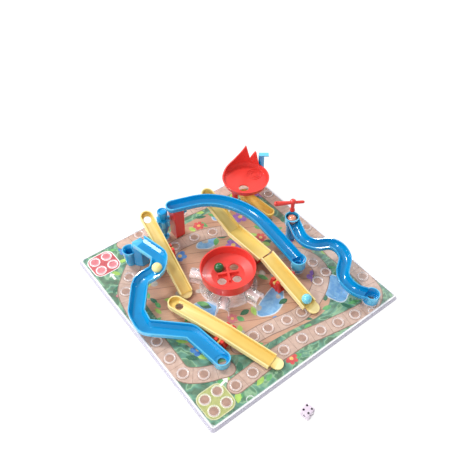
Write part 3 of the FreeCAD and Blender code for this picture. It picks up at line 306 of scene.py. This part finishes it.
dieLow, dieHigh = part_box("die")
dieLook = {"middle": (dieLow + dieHigh) / 2, "half": (dieHigh.z - dieLow.z) / 2, "turn": 12.0,
           "skin": 0.06 * mm, "edge": 1.6 * mm, "face": (228, 214, 228),
           "deep": (216, 200, 218), "pip": (24, 16, 28), "cloudSize": 9.0, "roughness": 0.3,
           "coat": 0.3, "coatRoughness": 0.1}
made["die"] = dieFinish(dieLook)

marbles = {  # colour, colour of the swirl, roughness
    "greenGlass": ((6, 84, 44), (14, 112, 60), 0.04),
    "creamMarble": ((248, 238, 172), (244, 230, 140), 0.12),
    "peachMarble": ((238, 142, 112), (245, 170, 136), 0.14),
    "lightBlueMarble": ((104, 205, 232), (140, 222, 240), 0.12),
}
for marbleName, look in marbles.items():
    made[marbleName] = marbleFinish(marbleName, *look)

wears = {
    "base_board": "grey", "printed_card": "card", "clear_tray": "tray", "clear_mound": "mound",
    "central_bowl": "red", "zigzag_slide": "blue", "arch_slide": "blue", "arch_post": "red",
    "s_slide": "blue", "turn_handle": "red", "knob_peg": "blue", "turn_knob": "blue",
    "swirl_dish": "red", "dish_post": "red", "dish_tower": "blue", "dish_chute": "amber",
    "left_ladder": "yellow", "left_fulcrum": "red", "front_ladder": "yellow",
    "front_fulcrum": "red", "centre_ladder": "yellow", "centre_fulcrum": "red",
    "upper_ladder": "yellow", "upper_fulcrum": "red", "green_marble": "greenGlass",
    "yellow_marble": "creamMarble", "orange_marble": "peachMarble",
    "blue_marble": "lightBlueMarble", "die": "die",
}
for nodeName, finishName in wears.items():
    mesh = nodes[nodeName].data
    mesh.materials.clear()
    mesh.materials.append(made[finishName])


# Moulded edges are a little round, so the light catches them

softEdges = {
    "central_bowl": 0.5, "zigzag_slide": 0.5, "arch_slide": 0.45, "s_slide": 0.45,
    "arch_post": 0.5, "turn_handle": 0.4, "turn_knob": 0.5, "knob_peg": 0.4,
    "swirl_dish": 0.5, "dish_tower": 0.4, "dish_chute": 0.45, "left_ladder": 0.45,
    "front_ladder": 0.45, "centre_ladder": 0.45, "upper_ladder": 0.45, "left_fulcrum": 0.4,
    "front_fulcrum": 0.4, "centre_fulcrum": 0.4, "upper_fulcrum": 0.4, "clear_tray": 0.25,
    "clear_mound": 0.35,
}
sharpestAngle = 38  # degrees; flatter edges stay as they are
for nodeName, width in softEdges.items():
    bevel = nodes[nodeName].modifiers.new("softEdge", "BEVEL")
    bevel.width = width * mm
    bevel.segments = 2
    bevel.limit_method = "ANGLE"
    bevel.angle_limit = math.radians(sharpestAngle)
    bevel.use_clamp_overlap = True
print("nodes dressed")


# Printed card: flat inks stacked in thin steps above the card, inside the clear sheet

card = {
    "halfWidth": 141.6, "halfLength": 146.6, "top": 4.2, "step": 0.03, "pathWidth": 19.0,
    "pathEdge": 1.1, "joint": 0.4, "boardHalf": (145, 150),
}
levels = {  # steps above the card, the lowest print first
    "ground": 1, "planks": 2, "pondEdges": 3, "ponds": 4, "stones": 4.6, "leaves": 5,
    "flowers": 5.8, "flowerHearts": 6.4, "pathEdges": 7, "pathBands": 8, "pathJoints": 9.2,
    "padEdges": 10, "pads": 10.5, "padRings": 11, "arrows": 11, "padSpots": 11.5,
    "cupRims": 12, "cupBands": 12.3, "cupSpots": 12.6, "bowlLightPool": 13,
}
printFinish = {"roughness": 0.34, "speckSize": 0.7, "speckShare": 0.3, "speck": (255, 250, 240)}


def ink(name, first, second, size=6.0, lift=0.0):
    # two tones in soft clouds, with fine pale specks
    finish = Finish(name)
    cloud = finish.noise(size, 4.0, 0.4)
    speck = finish.noise(printFinish["speckSize"], 2.0)
    spread = finish.node("ShaderNodeValToRGB", {"stops": ((0.36, shade(*first)),
                                                          (0.64, shade(*second)))}, {0: cloud})
    worn = finish.blendColours((speck - 0.5) * printFinish["speckShare"], spread,
                               shade(*printFinish["speck"]))
    # a glow above zero is painted light; only the round under the bowl has one
    return finish.done(finish.principled(Base_Color=worn, Roughness=printFinish["roughness"],
                                         Emission_Color=worn, Emission_Strength=lift))


def groundInk(look):
    # broad leafy swirls in sea green and dark green
    finish = Finish("groundInk")
    swirl = finish.noise(look["swirlSize"], 2.0, look["swirlWarp"])
    vein = finish.noise(look["veinSize"], 3.0, look["veinWarp"])
    base = finish.node("ShaderNodeValToRGB", {"stops": (
        (0.30, shade(14, 72, 58)), (0.43, shade(52, 126, 96)), (0.47, shade(142, 188, 148)),
        (0.52, shade(74, 150, 132)), (0.63, shade(28, 96, 78)))}, {0: swirl})
    light = finish.blendColours(vein * look["veinShare"], base, shade(*look["vein"]))
    return finish.done(finish.principled(Base_Color=light, Roughness=printFinish["roughness"]))


def plankInk(look):
    # boards of wood: each plank has its own tone, dark gaps and drawn grain
    finish = Finish("plankInk")
    turned = finish.node("ShaderNodeVectorRotate", {"rotation_type": "Z_AXIS"},
                         {"Vector": finish.place, "Angle": math.radians(look["turn"])})
    across = finish.axes(turned)[1] / (look["plank"] * mm) + 40.0  # in planks
    row = finish.node("ShaderNodeMath", {"operation": "FLOOR"}, {0: across})
    tone = finish.node("ShaderNodeTexWhiteNoise", {"noise_dimensions": "1D"}, {"W": row})
    gap = across - row < look["gap"]
    stretched = finish.node("ShaderNodeVectorMath", {"operation": "MULTIPLY"},
                            {0: turned, 1: (look["stretch"], 1.0, 1.0)})
    grain = finish.noise(look["grainSize"], 3.0, 0.5, stretched)
    base = finish.blendColours(tone, shade(*look["dark"]), shade(*look["light"]))
    grained = finish.blendColours(grain * look["grainShare"], base, shade(*look["grain"]))
    colour = finish.blendColours(gap * look["gapShare"], grained, shade(*look["seam"]))
    return finish.done(finish.principled(Base_Color=colour, Roughness=printFinish["roughness"]))


groundLook = {"swirlSize": 34.0, "swirlWarp": 2.2, "veinSize": 7.0, "veinWarp": 1.4,
              "veinShare": 0.3, "vein": (200, 214, 160)}
plankLook = {"turn": 28.0, "plank": 17.0, "gap": 0.045, "gapShare": 0.7, "stretch": 0.12,
             "grainSize": 1.6, "grainShare": 0.5, "dark": (208, 160, 130),
             "light": (224, 186, 152), "grain": (172, 122, 98), "seam": (134, 82, 62)}
inks = {
    "ground": groundInk(groundLook),
    "planks": plankInk(plankLook),
    "path": ink("pathInk", (196, 166, 148), (212, 184, 166)),
    "pathEdge": ink("pathEdgeInk", (140, 108, 90), (158, 126, 106)),
    "leafDark": ink("leafDarkInk", (28, 98, 70), (48, 124, 84)),
    "leafMid": ink("leafMidInk", (84, 166, 100), (118, 190, 110)),
    "leafLime": ink("leafLimeInk", (160, 202, 84), (190, 220, 110)),
    "water": ink("waterInk", (110, 168, 214), (146, 196, 228)),
    "waterEdge": ink("waterEdgeInk", (226, 234, 236), (204, 218, 226)),
    "purple": ink("purpleInk", (150, 100, 184), (180, 134, 208)),
    "red": ink("redInk", (206, 66, 68), (224, 92, 82)),
    "blue": ink("blueInk", (56, 120, 190), (88, 152, 210)),
    "paleSpot": ink("paleSpotInk", (170, 134, 116), (186, 150, 130)),
    "gold": ink("goldInk", (230, 188, 96), (242, 208, 124)),
    "stone": ink("stoneInk", (176, 170, 160), (204, 196, 184)),
    "white": ink("whiteInk", (244, 242, 234), (250, 248, 242)),
    "pink": ink("pinkInk", (204, 110, 118), (218, 134, 138)),
    "cream": ink("creamInk", (212, 212, 166), (222, 220, 178)),
    # painted light: the pale glowing round under the bowl
    "bowlLightPool": ink("bowlLightPoolInk", (226, 196, 184), (240, 222, 212), 4.0, 0.35),
    "padRed": ink("padRedInk", (186, 70, 76), (200, 88, 90)),
    "pad": ink("padInk", (172, 178, 104), (188, 192, 122)),
}
print("inks mixed")


def onCard(x, y):
    # the print stops at the edge of the card
    w, l = card["halfWidth"], card["halfLength"]
    return max(-w, min(w, x)), max(-l, min(l, y))


def flatPiece(name, loops, level, inkName):
    # loops are lists of (x, y) in millimetres, and each becomes one flat patch
    bm = bmesh.new()
    height = (card["top"] + level * card["step"]) * mm
    for loop in loops:
        inside = [onCard(x, y) for x, y in loop]
        corners = [bm.verts.new((x * mm, y * mm, height)) for x, y in inside]
        bm.faces.new(corners)
    bm.normal_update()
    for face in bm.faces:
        if face.normal.z < 0:
            face.normal_flip()
    bmesh.ops.triangulate(bm, faces=bm.faces[:], ngon_method="EAR_CLIP")
    mesh = bpy.data.meshes.new(name)
    bm.to_mesh(mesh)
    bm.free()
    piece = bpy.data.objects.new(name, mesh)
    scene.collection.objects.link(piece)
    mesh.materials.append(inks[inkName])
    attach(piece, "board")
    return piece


def smoothLine(points, steps=6):
    line = []
    for index in range(len(points) - 1):
        before = Vector(points[max(index - 1, 0)])
        start = Vector(points[index])
        end = Vector(points[index + 1])
        after = Vector(points[min(index + 2, len(points) - 1)])
        for step in range(steps):
            t = step / steps
            line.append(0.5 * ((2 * start) + (end - before) * t
                               + (2 * before - 5 * start + 4 * end - after) * t * t
                               + (3 * start - before - 3 * end + after) * t ** 3))
    line.append(Vector(points[-1]))
    return line


def ribbon(line, width, capSteps=8):
    # a band round a line, with round ends
    half = width / 2
    left, right, sides = [], [], []
    for index, point in enumerate(line):
        along = (line[min(index + 1, len(line) - 1)] - line[max(index - 1, 0)]).normalized()
        side = Vector((-along.y, along.x))
        sides.append((along, side))
        left.append(point + side * half)
        right.append(point - side * half)
    capEnd, capStart = [], []
    for step in range(1, capSteps):
        turn = math.pi * step / capSteps
        along, side = sides[-1]
        capEnd.append(line[-1] + side * half * math.cos(turn) + along * half * math.sin(turn))
        along, side = sides[0]
        capStart.append(line[0] - side * half * math.cos(turn) - along * half * math.sin(turn))
    return [tuple(p) for p in left + capEnd + right[::-1] + capStart]


def blob(centre, radiusX, radiusY, waves, depth, turn=0.0, count=36):
    loop = []
    for index in range(count):
        angle = 2 * math.pi * index / count
        reach = 1 + depth * math.sin(waves * angle + turn)
        x = radiusX * reach * math.cos(angle)
        y = radiusY * reach * math.sin(angle)
        loop.append((centre[0] + x * math.cos(turn) - y * math.sin(turn),
                     centre[1] + x * math.sin(turn) + y * math.cos(turn)))
    return loop


def leaf(centre, length, width, turn):
    loop = []
    count = 9
    for side in (1, -1):
        for index in range(count):
            t = index / count if side > 0 else 1 - index / count
            x = (t - 0.5) * length
            y = side * width / 2 * math.sin(math.pi * t) ** 0.8 * (1.15 - 0.3 * t)
            loop.append((centre[0] + x * math.cos(turn) - y * math.sin(turn),
                         centre[1] + x * math.sin(turn) + y * math.cos(turn)))
    return loop


def flower(centre, reach, petals, turn):
    loop = []
    count = petals * 8
    for index in range(count):
        angle = 2 * math.pi * index / count
        r = reach * (0.62 + 0.38 * abs(math.cos(petals * angle / 2)) ** 0.6)
        loop.append((centre[0] + r * math.cos(angle + turn),
                     centre[1] + r * math.sin(angle + turn)))
    return loop


def roundSquare(centre, half, radius, count=8):
    loop = []
    for quarter, (i, j) in enumerate(((1, 1), (-1, 1), (-1, -1), (1, -1))):
        for step in range(count + 1):
            angle = math.pi / 2 * (quarter + step / count)
            loop.append((centre[0] + i * (half - radius) + radius * math.cos(angle),
                         centre[1] + j * (half - radius) + radius * math.sin(angle)))
    return loop


def ringLoop(centre, radius, count=28):
    return [(centre[0] + radius * math.cos(2 * math.pi * i / count),
             centre[1] + radius * math.sin(2 * math.pi * i / count)) for i in range(count)]


def fromShares(shares):
    return [(x * card["boardHalf"][0], y * card["boardHalf"][1]) for x, y in shares]


# middles of the paths and rings, as shares of the board's half width and half length
paths = {
    "near": [(-0.635, -0.813), (-0.462, -0.807), (-0.300, -0.800), (-0.138, -0.803),
             (0.052, -0.811), (0.224, -0.846), (0.394, -0.878), (0.562, -0.906),
             (0.730, -0.915), (0.870, -0.840), (0.912, -0.668), (0.912, -0.480),
             (0.905, -0.310), (0.926, -0.150), (0.926, 0.062), (0.930, 0.250),
             (0.930, 0.440), (0.930, 0.620), (0.910, 0.800), (0.780, 0.900), (0.600, 0.915),
             (0.430, 0.905), (0.276, 0.906), (0.090, 0.925), (-0.060, 0.928),
             (-0.210, 0.930), (-0.390, 0.934), (-0.560, 0.925)],
    "inner": [(-0.400, -0.560), (-0.250, -0.560), (-0.104, -0.573), (0.072, -0.607),
              (0.222, -0.624), (0.400, -0.580), (0.560, -0.500), (0.672, -0.390),
              (0.690, -0.250), (0.640, -0.120)],
    "left": [(-0.600, -0.660), (-0.772, -0.592), (-0.897, -0.489), (-0.904, -0.320),
             (-0.900, -0.130), (-0.905, 0.060), (-0.880, 0.250), (-0.836, 0.444),
             (-0.731, 0.562), (-0.640, 0.640)],
    "far": [(-0.330, 0.560), (-0.205, 0.612), (0.002, 0.595), (0.176, 0.545),
            (0.300, 0.480)],
}
cupRadii = {"rim": 7.7, "band": 7.2, "spot": 5.0}
cups = [
    (-0.635, -0.813), (-0.462, -0.807), (-0.138, -0.803), (0.052, -0.811), (0.224, -0.846),
    (0.394, -0.878), (0.562, -0.906), (-0.250, -0.560), (-0.104, -0.573), (0.072, -0.607),
    (0.222, -0.624), (-0.904, -0.320), (-0.897, -0.489), (-0.772, -0.592), (-0.900, -0.130),
    (-0.731, 0.562), (-0.836, 0.444), (-0.205, 0.612), (0.002, 0.595), (0.176, 0.545),
    (0.276, 0.906), (0.090, 0.925), (-0.210, 0.930), (-0.390, 0.934), (0.930, 0.620),
    (0.926, 0.062), (0.926, -0.150), (0.912, -0.668), (0.668, -0.290), (0.686, -0.437),
    (0.560, -0.467),
]
# the pale glowing round under the bowl is painted light
bowlLightPoolLook = {"place": (-0.085, -0.024), "radius": 20.0, "waves": 8, "depth": 0.05}


def paintBowlLightPool():
    # painted light: a pale round with a wavy edge that glows a little, seen through the holes of
    # the bowl so they look bright
    middle = fromShares([bowlLightPoolLook["place"]])[0]
    radius = bowlLightPoolLook["radius"]
    loop = blob(middle, radius, radius, bowlLightPoolLook["waves"], bowlLightPoolLook["depth"])
    flatPiece("bowlLightPool", [loop], levels["bowlLightPool"], "bowlLightPool")


def printCups():
    # a darker spot under every ring of the clear sheet
    places = fromShares(cups)
    for name, radius, inkName in (("cupRims", cupRadii["rim"], "pathEdge"),
                                  ("cupBands", cupRadii["band"], "path"),
                                  ("cupSpots", cupRadii["spot"], "paleSpot")):
        flatPiece(name, [ringLoop(place, radius) for place in places], levels[name], inkName)


def layPaths():
    bands, edges, joints = [], [], []
    for shares in paths.values():
        places = fromShares(shares)
        line = smoothLine(places)
        edges.append(ribbon(line, card["pathWidth"] + 2 * card["pathEdge"]))
        bands.append(ribbon(line, card["pathWidth"]))
        for index in range(3, len(line) - 3, 6):
            along = (line[index + 1] - line[index - 1]).normalized() * card["joint"] / 2
            side = Vector((-along.y, along.x)).normalized() * card["pathWidth"] / 2
            point = line[index]
            joints.append([tuple(point + side + along), tuple(point - side + along),
                           tuple(point - side - along), tuple(point + side - along)])
    for index, (edge, band) in enumerate(zip(edges, bands)):
        flatPiece("pathEdge%d" % index, [edge], levels["pathEdges"] + index * 0.2, "pathEdge")
        flatPiece("pathBand%d" % index, [band], levels["pathBands"] + index * 0.2, "path")
    flatPiece("pathJoints", joints, levels["pathJoints"], "pathEdge")


# places in millimetres from the middle of the board
clearing = [(-96, -70), (-60, -96), (0, -104), (60, -108), (100, -70), (112, -10),
            (112, 60), (70, 108), (0, 118), (-70, 112), (-104, 70), (-112, 0)]
pondBank = 1.6
ponds = [  # middle, half length, half width, waves, their depth, turn
    ((14, -58), 26, 12, 3, 0.10, 0.4), ((92, -92), 20, 17, 4, 0.08, 1.1),
    ((-64, -20), 15, 20, 3, 0.12, 2.0), ((10, 72), 16, 9, 3, 0.12, 0.2),
    ((60, 108), 20, 10, 3, 0.10, 0.6),
]


def paintGround():
    w, l = card["halfWidth"], card["halfLength"]
    flatPiece("groundPrint", [[(-w, -l), (w, -l), (w, l), (-w, l)]], levels["ground"], "ground")
    outline = smoothLine(clearing + clearing[:3])[6:-12]
    flatPiece("plankPrint", [[tuple(p) for p in outline]], levels["planks"], "planks")
    banks = [blob(middle, long + pondBank, wide + pondBank, *waves)
             for middle, long, wide, *waves in ponds]
    flatPiece("pondEdges", banks, levels["pondEdges"], "waterEdge")
    flatPiece("ponds", [blob(*pond) for pond in ponds], levels["ponds"], "water")


def spacedSpots(seed, count, reachX, reachY, gap):
    # spots chosen by dice, none of them nearer to another one than the gap
    dice = random.Random(seed)
    spots = []
    for _ in range(count * 20):
        spot = Vector((dice.uniform(-reachX, reachX), dice.uniform(-reachY, reachY)))
        if all((spot - other).length > gap for other, _, _ in spots):
            spots.append((spot, dice.random(), dice.random()))
        if len(spots) == count:
            break
    return spots


leaves = {"inks": ("leafDark", "leafMid", "leafLime"), "seed": 5, "count": 70, "gap": 19,
          "margin": 8, "rimShare": 0.74, "rare": 0.62}
flowers = {
    "inks": ("purple", "red", "blue", "pink"), "reaches": (11, 8, 9.5, 7), "heart": 0.3,
    "spots": [(84, -62), (-30, -84), (-98, -58), (-58, 30), (34, 46), (72, 34), (-34, 74),
              (-128, 66), (128, 104), (-20, -134), (60, -84), (-112, -92), (96, 8),
              (18, 104), (-86, 128), (-40, -48), (74, 82), (-72, 70), (0, -86)],
}
stones = {"seed": 23, "count": 26, "reach": 90, "gap": 14}


def paintPlants():
    # leaves stand thick along the rim and thin out towards the middle
    reachX, reachY = card["halfWidth"] - leaves["margin"], card["halfLength"] - leaves["margin"]
    for index, inkName in enumerate(leaves["inks"]):
        loops = []
        for spot, a, b in spacedSpots(leaves["seed"] + index, leaves["count"], reachX, reachY,
                                      leaves["gap"]):
            nearRim = max(abs(spot.x) / reachX, abs(spot.y) / reachY) > leaves["rimShare"]
            if nearRim or a > leaves["rare"]:
                loops.append(leaf(spot, 10 + 7 * b, 4.5 + 3 * a, 6.28 * b))
        flatPiece(inkName + "Leaves", loops, levels["leaves"] + 0.25 * index, inkName)
    blooms = [[] for _ in flowers["inks"]]
    hearts = []
    for index, spot in enumerate(flowers["spots"]):
        kind = index % len(blooms)
        reach = flowers["reaches"][kind]
        blooms[kind].append(flower(spot, reach, 5 + index % 2, index * 0.7))
        hearts.append(ringLoop(spot, reach * flowers["heart"], 14))
    for index, (inkName, loops) in enumerate(zip(flowers["inks"], blooms)):
        flatPiece(inkName + "Flowers", loops, levels["flowers"] + 0.15 * index, inkName)
    flatPiece("flowerHearts", hearts, levels["flowerHearts"], "gold")
    loops = [blob(spot, 3 + 3 * a, 2.4 + 2 * b, 3, 0.08, 6 * a, 16)
             for spot, a, b in spacedSpots(stones["seed"], stones["count"], stones["reach"],
                                           stones["reach"], stones["gap"])]
    flatPiece("stones", loops, levels["stones"], "stone")


pads = {
    "half": 17.4, "radius": 9.4, "pitch": 17.0, "edge": 1.2, "ring": 7.0, "spot": 5.8,
    "startPad": {"middle": (-121.0, -123.3), "inks": ("cream", "pad", "paleSpot")},
    "finishPad": {"middle": (-120.2, 124.6), "inks": ("white", "padRed", "pink")},
}
arrow = {
    "outline": [(-6.5, -1.5), (1.2, -1.5), (1.2, -4.2), (6.5, 0), (1.2, 4.2), (1.2, 1.5),
                (-6.5, 1.5)],
    "places": [(-99.5, -110.0, 12.0), (-121.7, 98.5, 92.0)],  # x, y and turn in degrees
}


def paintPads():
    half, radius, edge = pads["half"], pads["radius"], pads["edge"]
    for name in ("startPad", "finishPad"):
        middle = pads[name]["middle"]
        edgeInk, padInk, spotInk = pads[name]["inks"]
        flatPiece(name + "Edge", [roundSquare(middle, half + edge, radius + edge)],
                  levels["padEdges"], edgeInk)
        flatPiece(name, [roundSquare(middle, half, radius)], levels["pads"], padInk)
        rings = [(middle[0] + i * pads["pitch"] / 2, middle[1] + j * pads["pitch"] / 2)
                 for i in (-1, 1) for j in (-1, 1)]
        flatPiece(name + "Rings", [ringLoop(c, pads["ring"]) for c in rings],
                  levels["padRings"], edgeInk)
        flatPiece(name + "Spots", [ringLoop(c, pads["spot"]) for c in rings],
                  levels["padSpots"], spotInk)
    placed = []
    for x, y, turn in arrow["places"]:
        c, s = math.cos(math.radians(turn)), math.sin(math.radians(turn))
        placed.append([(x + a * c - b * s, y + a * s + b * c) for a, b in arrow["outline"]])
    flatPiece("arrows", placed, levels["arrows"], "white")


paintGround()
layPaths()
paintPlants()
paintPads()
printCups()
paintBowlLightPool()
print("card printed")


# Table, lamps and camera

table = {"half": 6.0, "height": -0.0002, "colour": (250, 250, 250), "roughness": 0.9,
         "glow": 1.08, "glowShare": 0.8}


def paleFloor():
    finish = Finish("paleFloor")
    seen = finish.node("ShaderNodeLightPath", pick="Is Camera Ray")
    mirrored = finish.node("ShaderNodeLightPath", pick="Is Glossy Ray")
    through = finish.node("ShaderNodeLightPath", pick="Is Transmission Ray")
    share = finish.larger(finish.larger(seen, mirrored), through)
    cloth = finish.principled(Base_Color=shade(*table["colour"]), Roughness=table["roughness"])
    glow = finish.node("ShaderNodeEmission", {}, {"Color": (1, 1, 1, 1),
                                                  "Strength": table["glow"]})
    mixed = finish.node("ShaderNodeMixShader", {}, {0: share * table["glowShare"], 1: cloth,
                                                    2: glow})
    return finish.done(mixed)


def layTable():
    bm = bmesh.new()
    half = table["half"]
    corners = [bm.verts.new((x * half, y * half, table["height"]))
               for x, y in ((-1, -1), (1, -1), (1, 1), (-1, 1))]
    bm.faces.new(corners)
    mesh = bpy.data.meshes.new("tableTop")
    bm.to_mesh(mesh)
    bm.free()
    top = bpy.data.objects.new("tableTop", mesh)
    scene.collection.objects.link(top)
    mesh.materials.append(paleFloor())


lamps = {  # place, aim, size in metres, watts
    "mainLamp": ((-0.25, 0.75, 1.0), (0, 0, 0), (0.25, 0.25), 8.5),
    "sideLamp": ((-0.9, -0.3, 0.9), (0, 0, 0), (0.16, 0.5), 4.5),
    "farLamp": ((1.08, 0.42, 0.9), (0, 0, 0), (0.3, 0.3), 7.0),
    "leftLamp": ((-1.3, 0.5, 0.74), (-0.1, 0, 0), (0.7, 0.26), 7.0),
}
worldLight = 0.5


def hangLamp(name, place, aim, size, power):
    lamp = bpy.data.lights.new(name, "AREA")
    lamp.shape = "RECTANGLE"
    lamp.size, lamp.size_y = size
    lamp.energy = power
    holder = bpy.data.objects.new(name, lamp)
    scene.collection.objects.link(holder)
    holder.location = place
    holder.rotation_euler = (Vector(aim) - Vector(place)).to_track_quat("-Z", "Y").to_euler()


def setWorld(strength):
    # soft light from all round, and plain white where the camera sees past the table
    world = bpy.data.worlds.new("studio")
    scene.world = world
    world.use_nodes = True
    tree = world.node_tree
    tree.nodes.clear()
    out = tree.nodes.new("ShaderNodeOutputWorld")
    plain = tree.nodes.new("ShaderNodeBackground")
    bright = tree.nodes.new("ShaderNodeBackground")
    path = tree.nodes.new("ShaderNodeLightPath")
    mixed = tree.nodes.new("ShaderNodeMixShader")
    plain.inputs["Color"].default_value = (1, 1, 1, 1)
    plain.inputs["Strength"].default_value = strength
    bright.inputs["Color"].default_value = (1, 1, 1, 1)
    bright.inputs["Strength"].default_value = 1.0
    tree.links.new(path.outputs["Is Camera Ray"], mixed.inputs[0])
    tree.links.new(plain.outputs[0], mixed.inputs[1])
    tree.links.new(bright.outputs[0], mixed.inputs[2])
    tree.links.new(mixed.outputs[0], out.inputs["Surface"])


view = {"focal": 596.074, "frame": 476, "sensor": 36.0, "turn": -37.962, "rise": 47.776,
        "aim": (0.049266, 0.055157, 0.0), "distance": 0.820595}  # focal length in pixels


def setCamera():
    camera = bpy.data.cameras.new("camera")
    camera.sensor_width = view["sensor"]
    camera.lens = view["focal"] * view["sensor"] / view["frame"]
    camera.clip_end = 20.0
    holder = bpy.data.objects.new("camera", camera)
    scene.collection.objects.link(holder)
    turn, rise = math.radians(view["turn"]), math.radians(view["rise"])
    back = Vector((math.sin(turn) * math.cos(rise), -math.cos(turn) * math.cos(rise),
                   math.sin(rise)))
    side = Vector((math.cos(turn), math.sin(turn), 0))
    up = back.cross(side)
    place = Vector(view["aim"]) + back * view["distance"]
    holder.matrix_world = Matrix(((side.x, up.x, back.x, place.x),
                                  (side.y, up.y, back.y, place.y),
                                  (side.z, up.z, back.z, place.z), (0, 0, 0, 1)))
    scene.camera = holder


layTable()
setWorld(worldLight)
for lampName, lamp in lamps.items():
    hangLamp(lampName, *lamp)
setCamera()
scene.view_settings.view_transform = "Standard"
print("table, lamps and camera set")
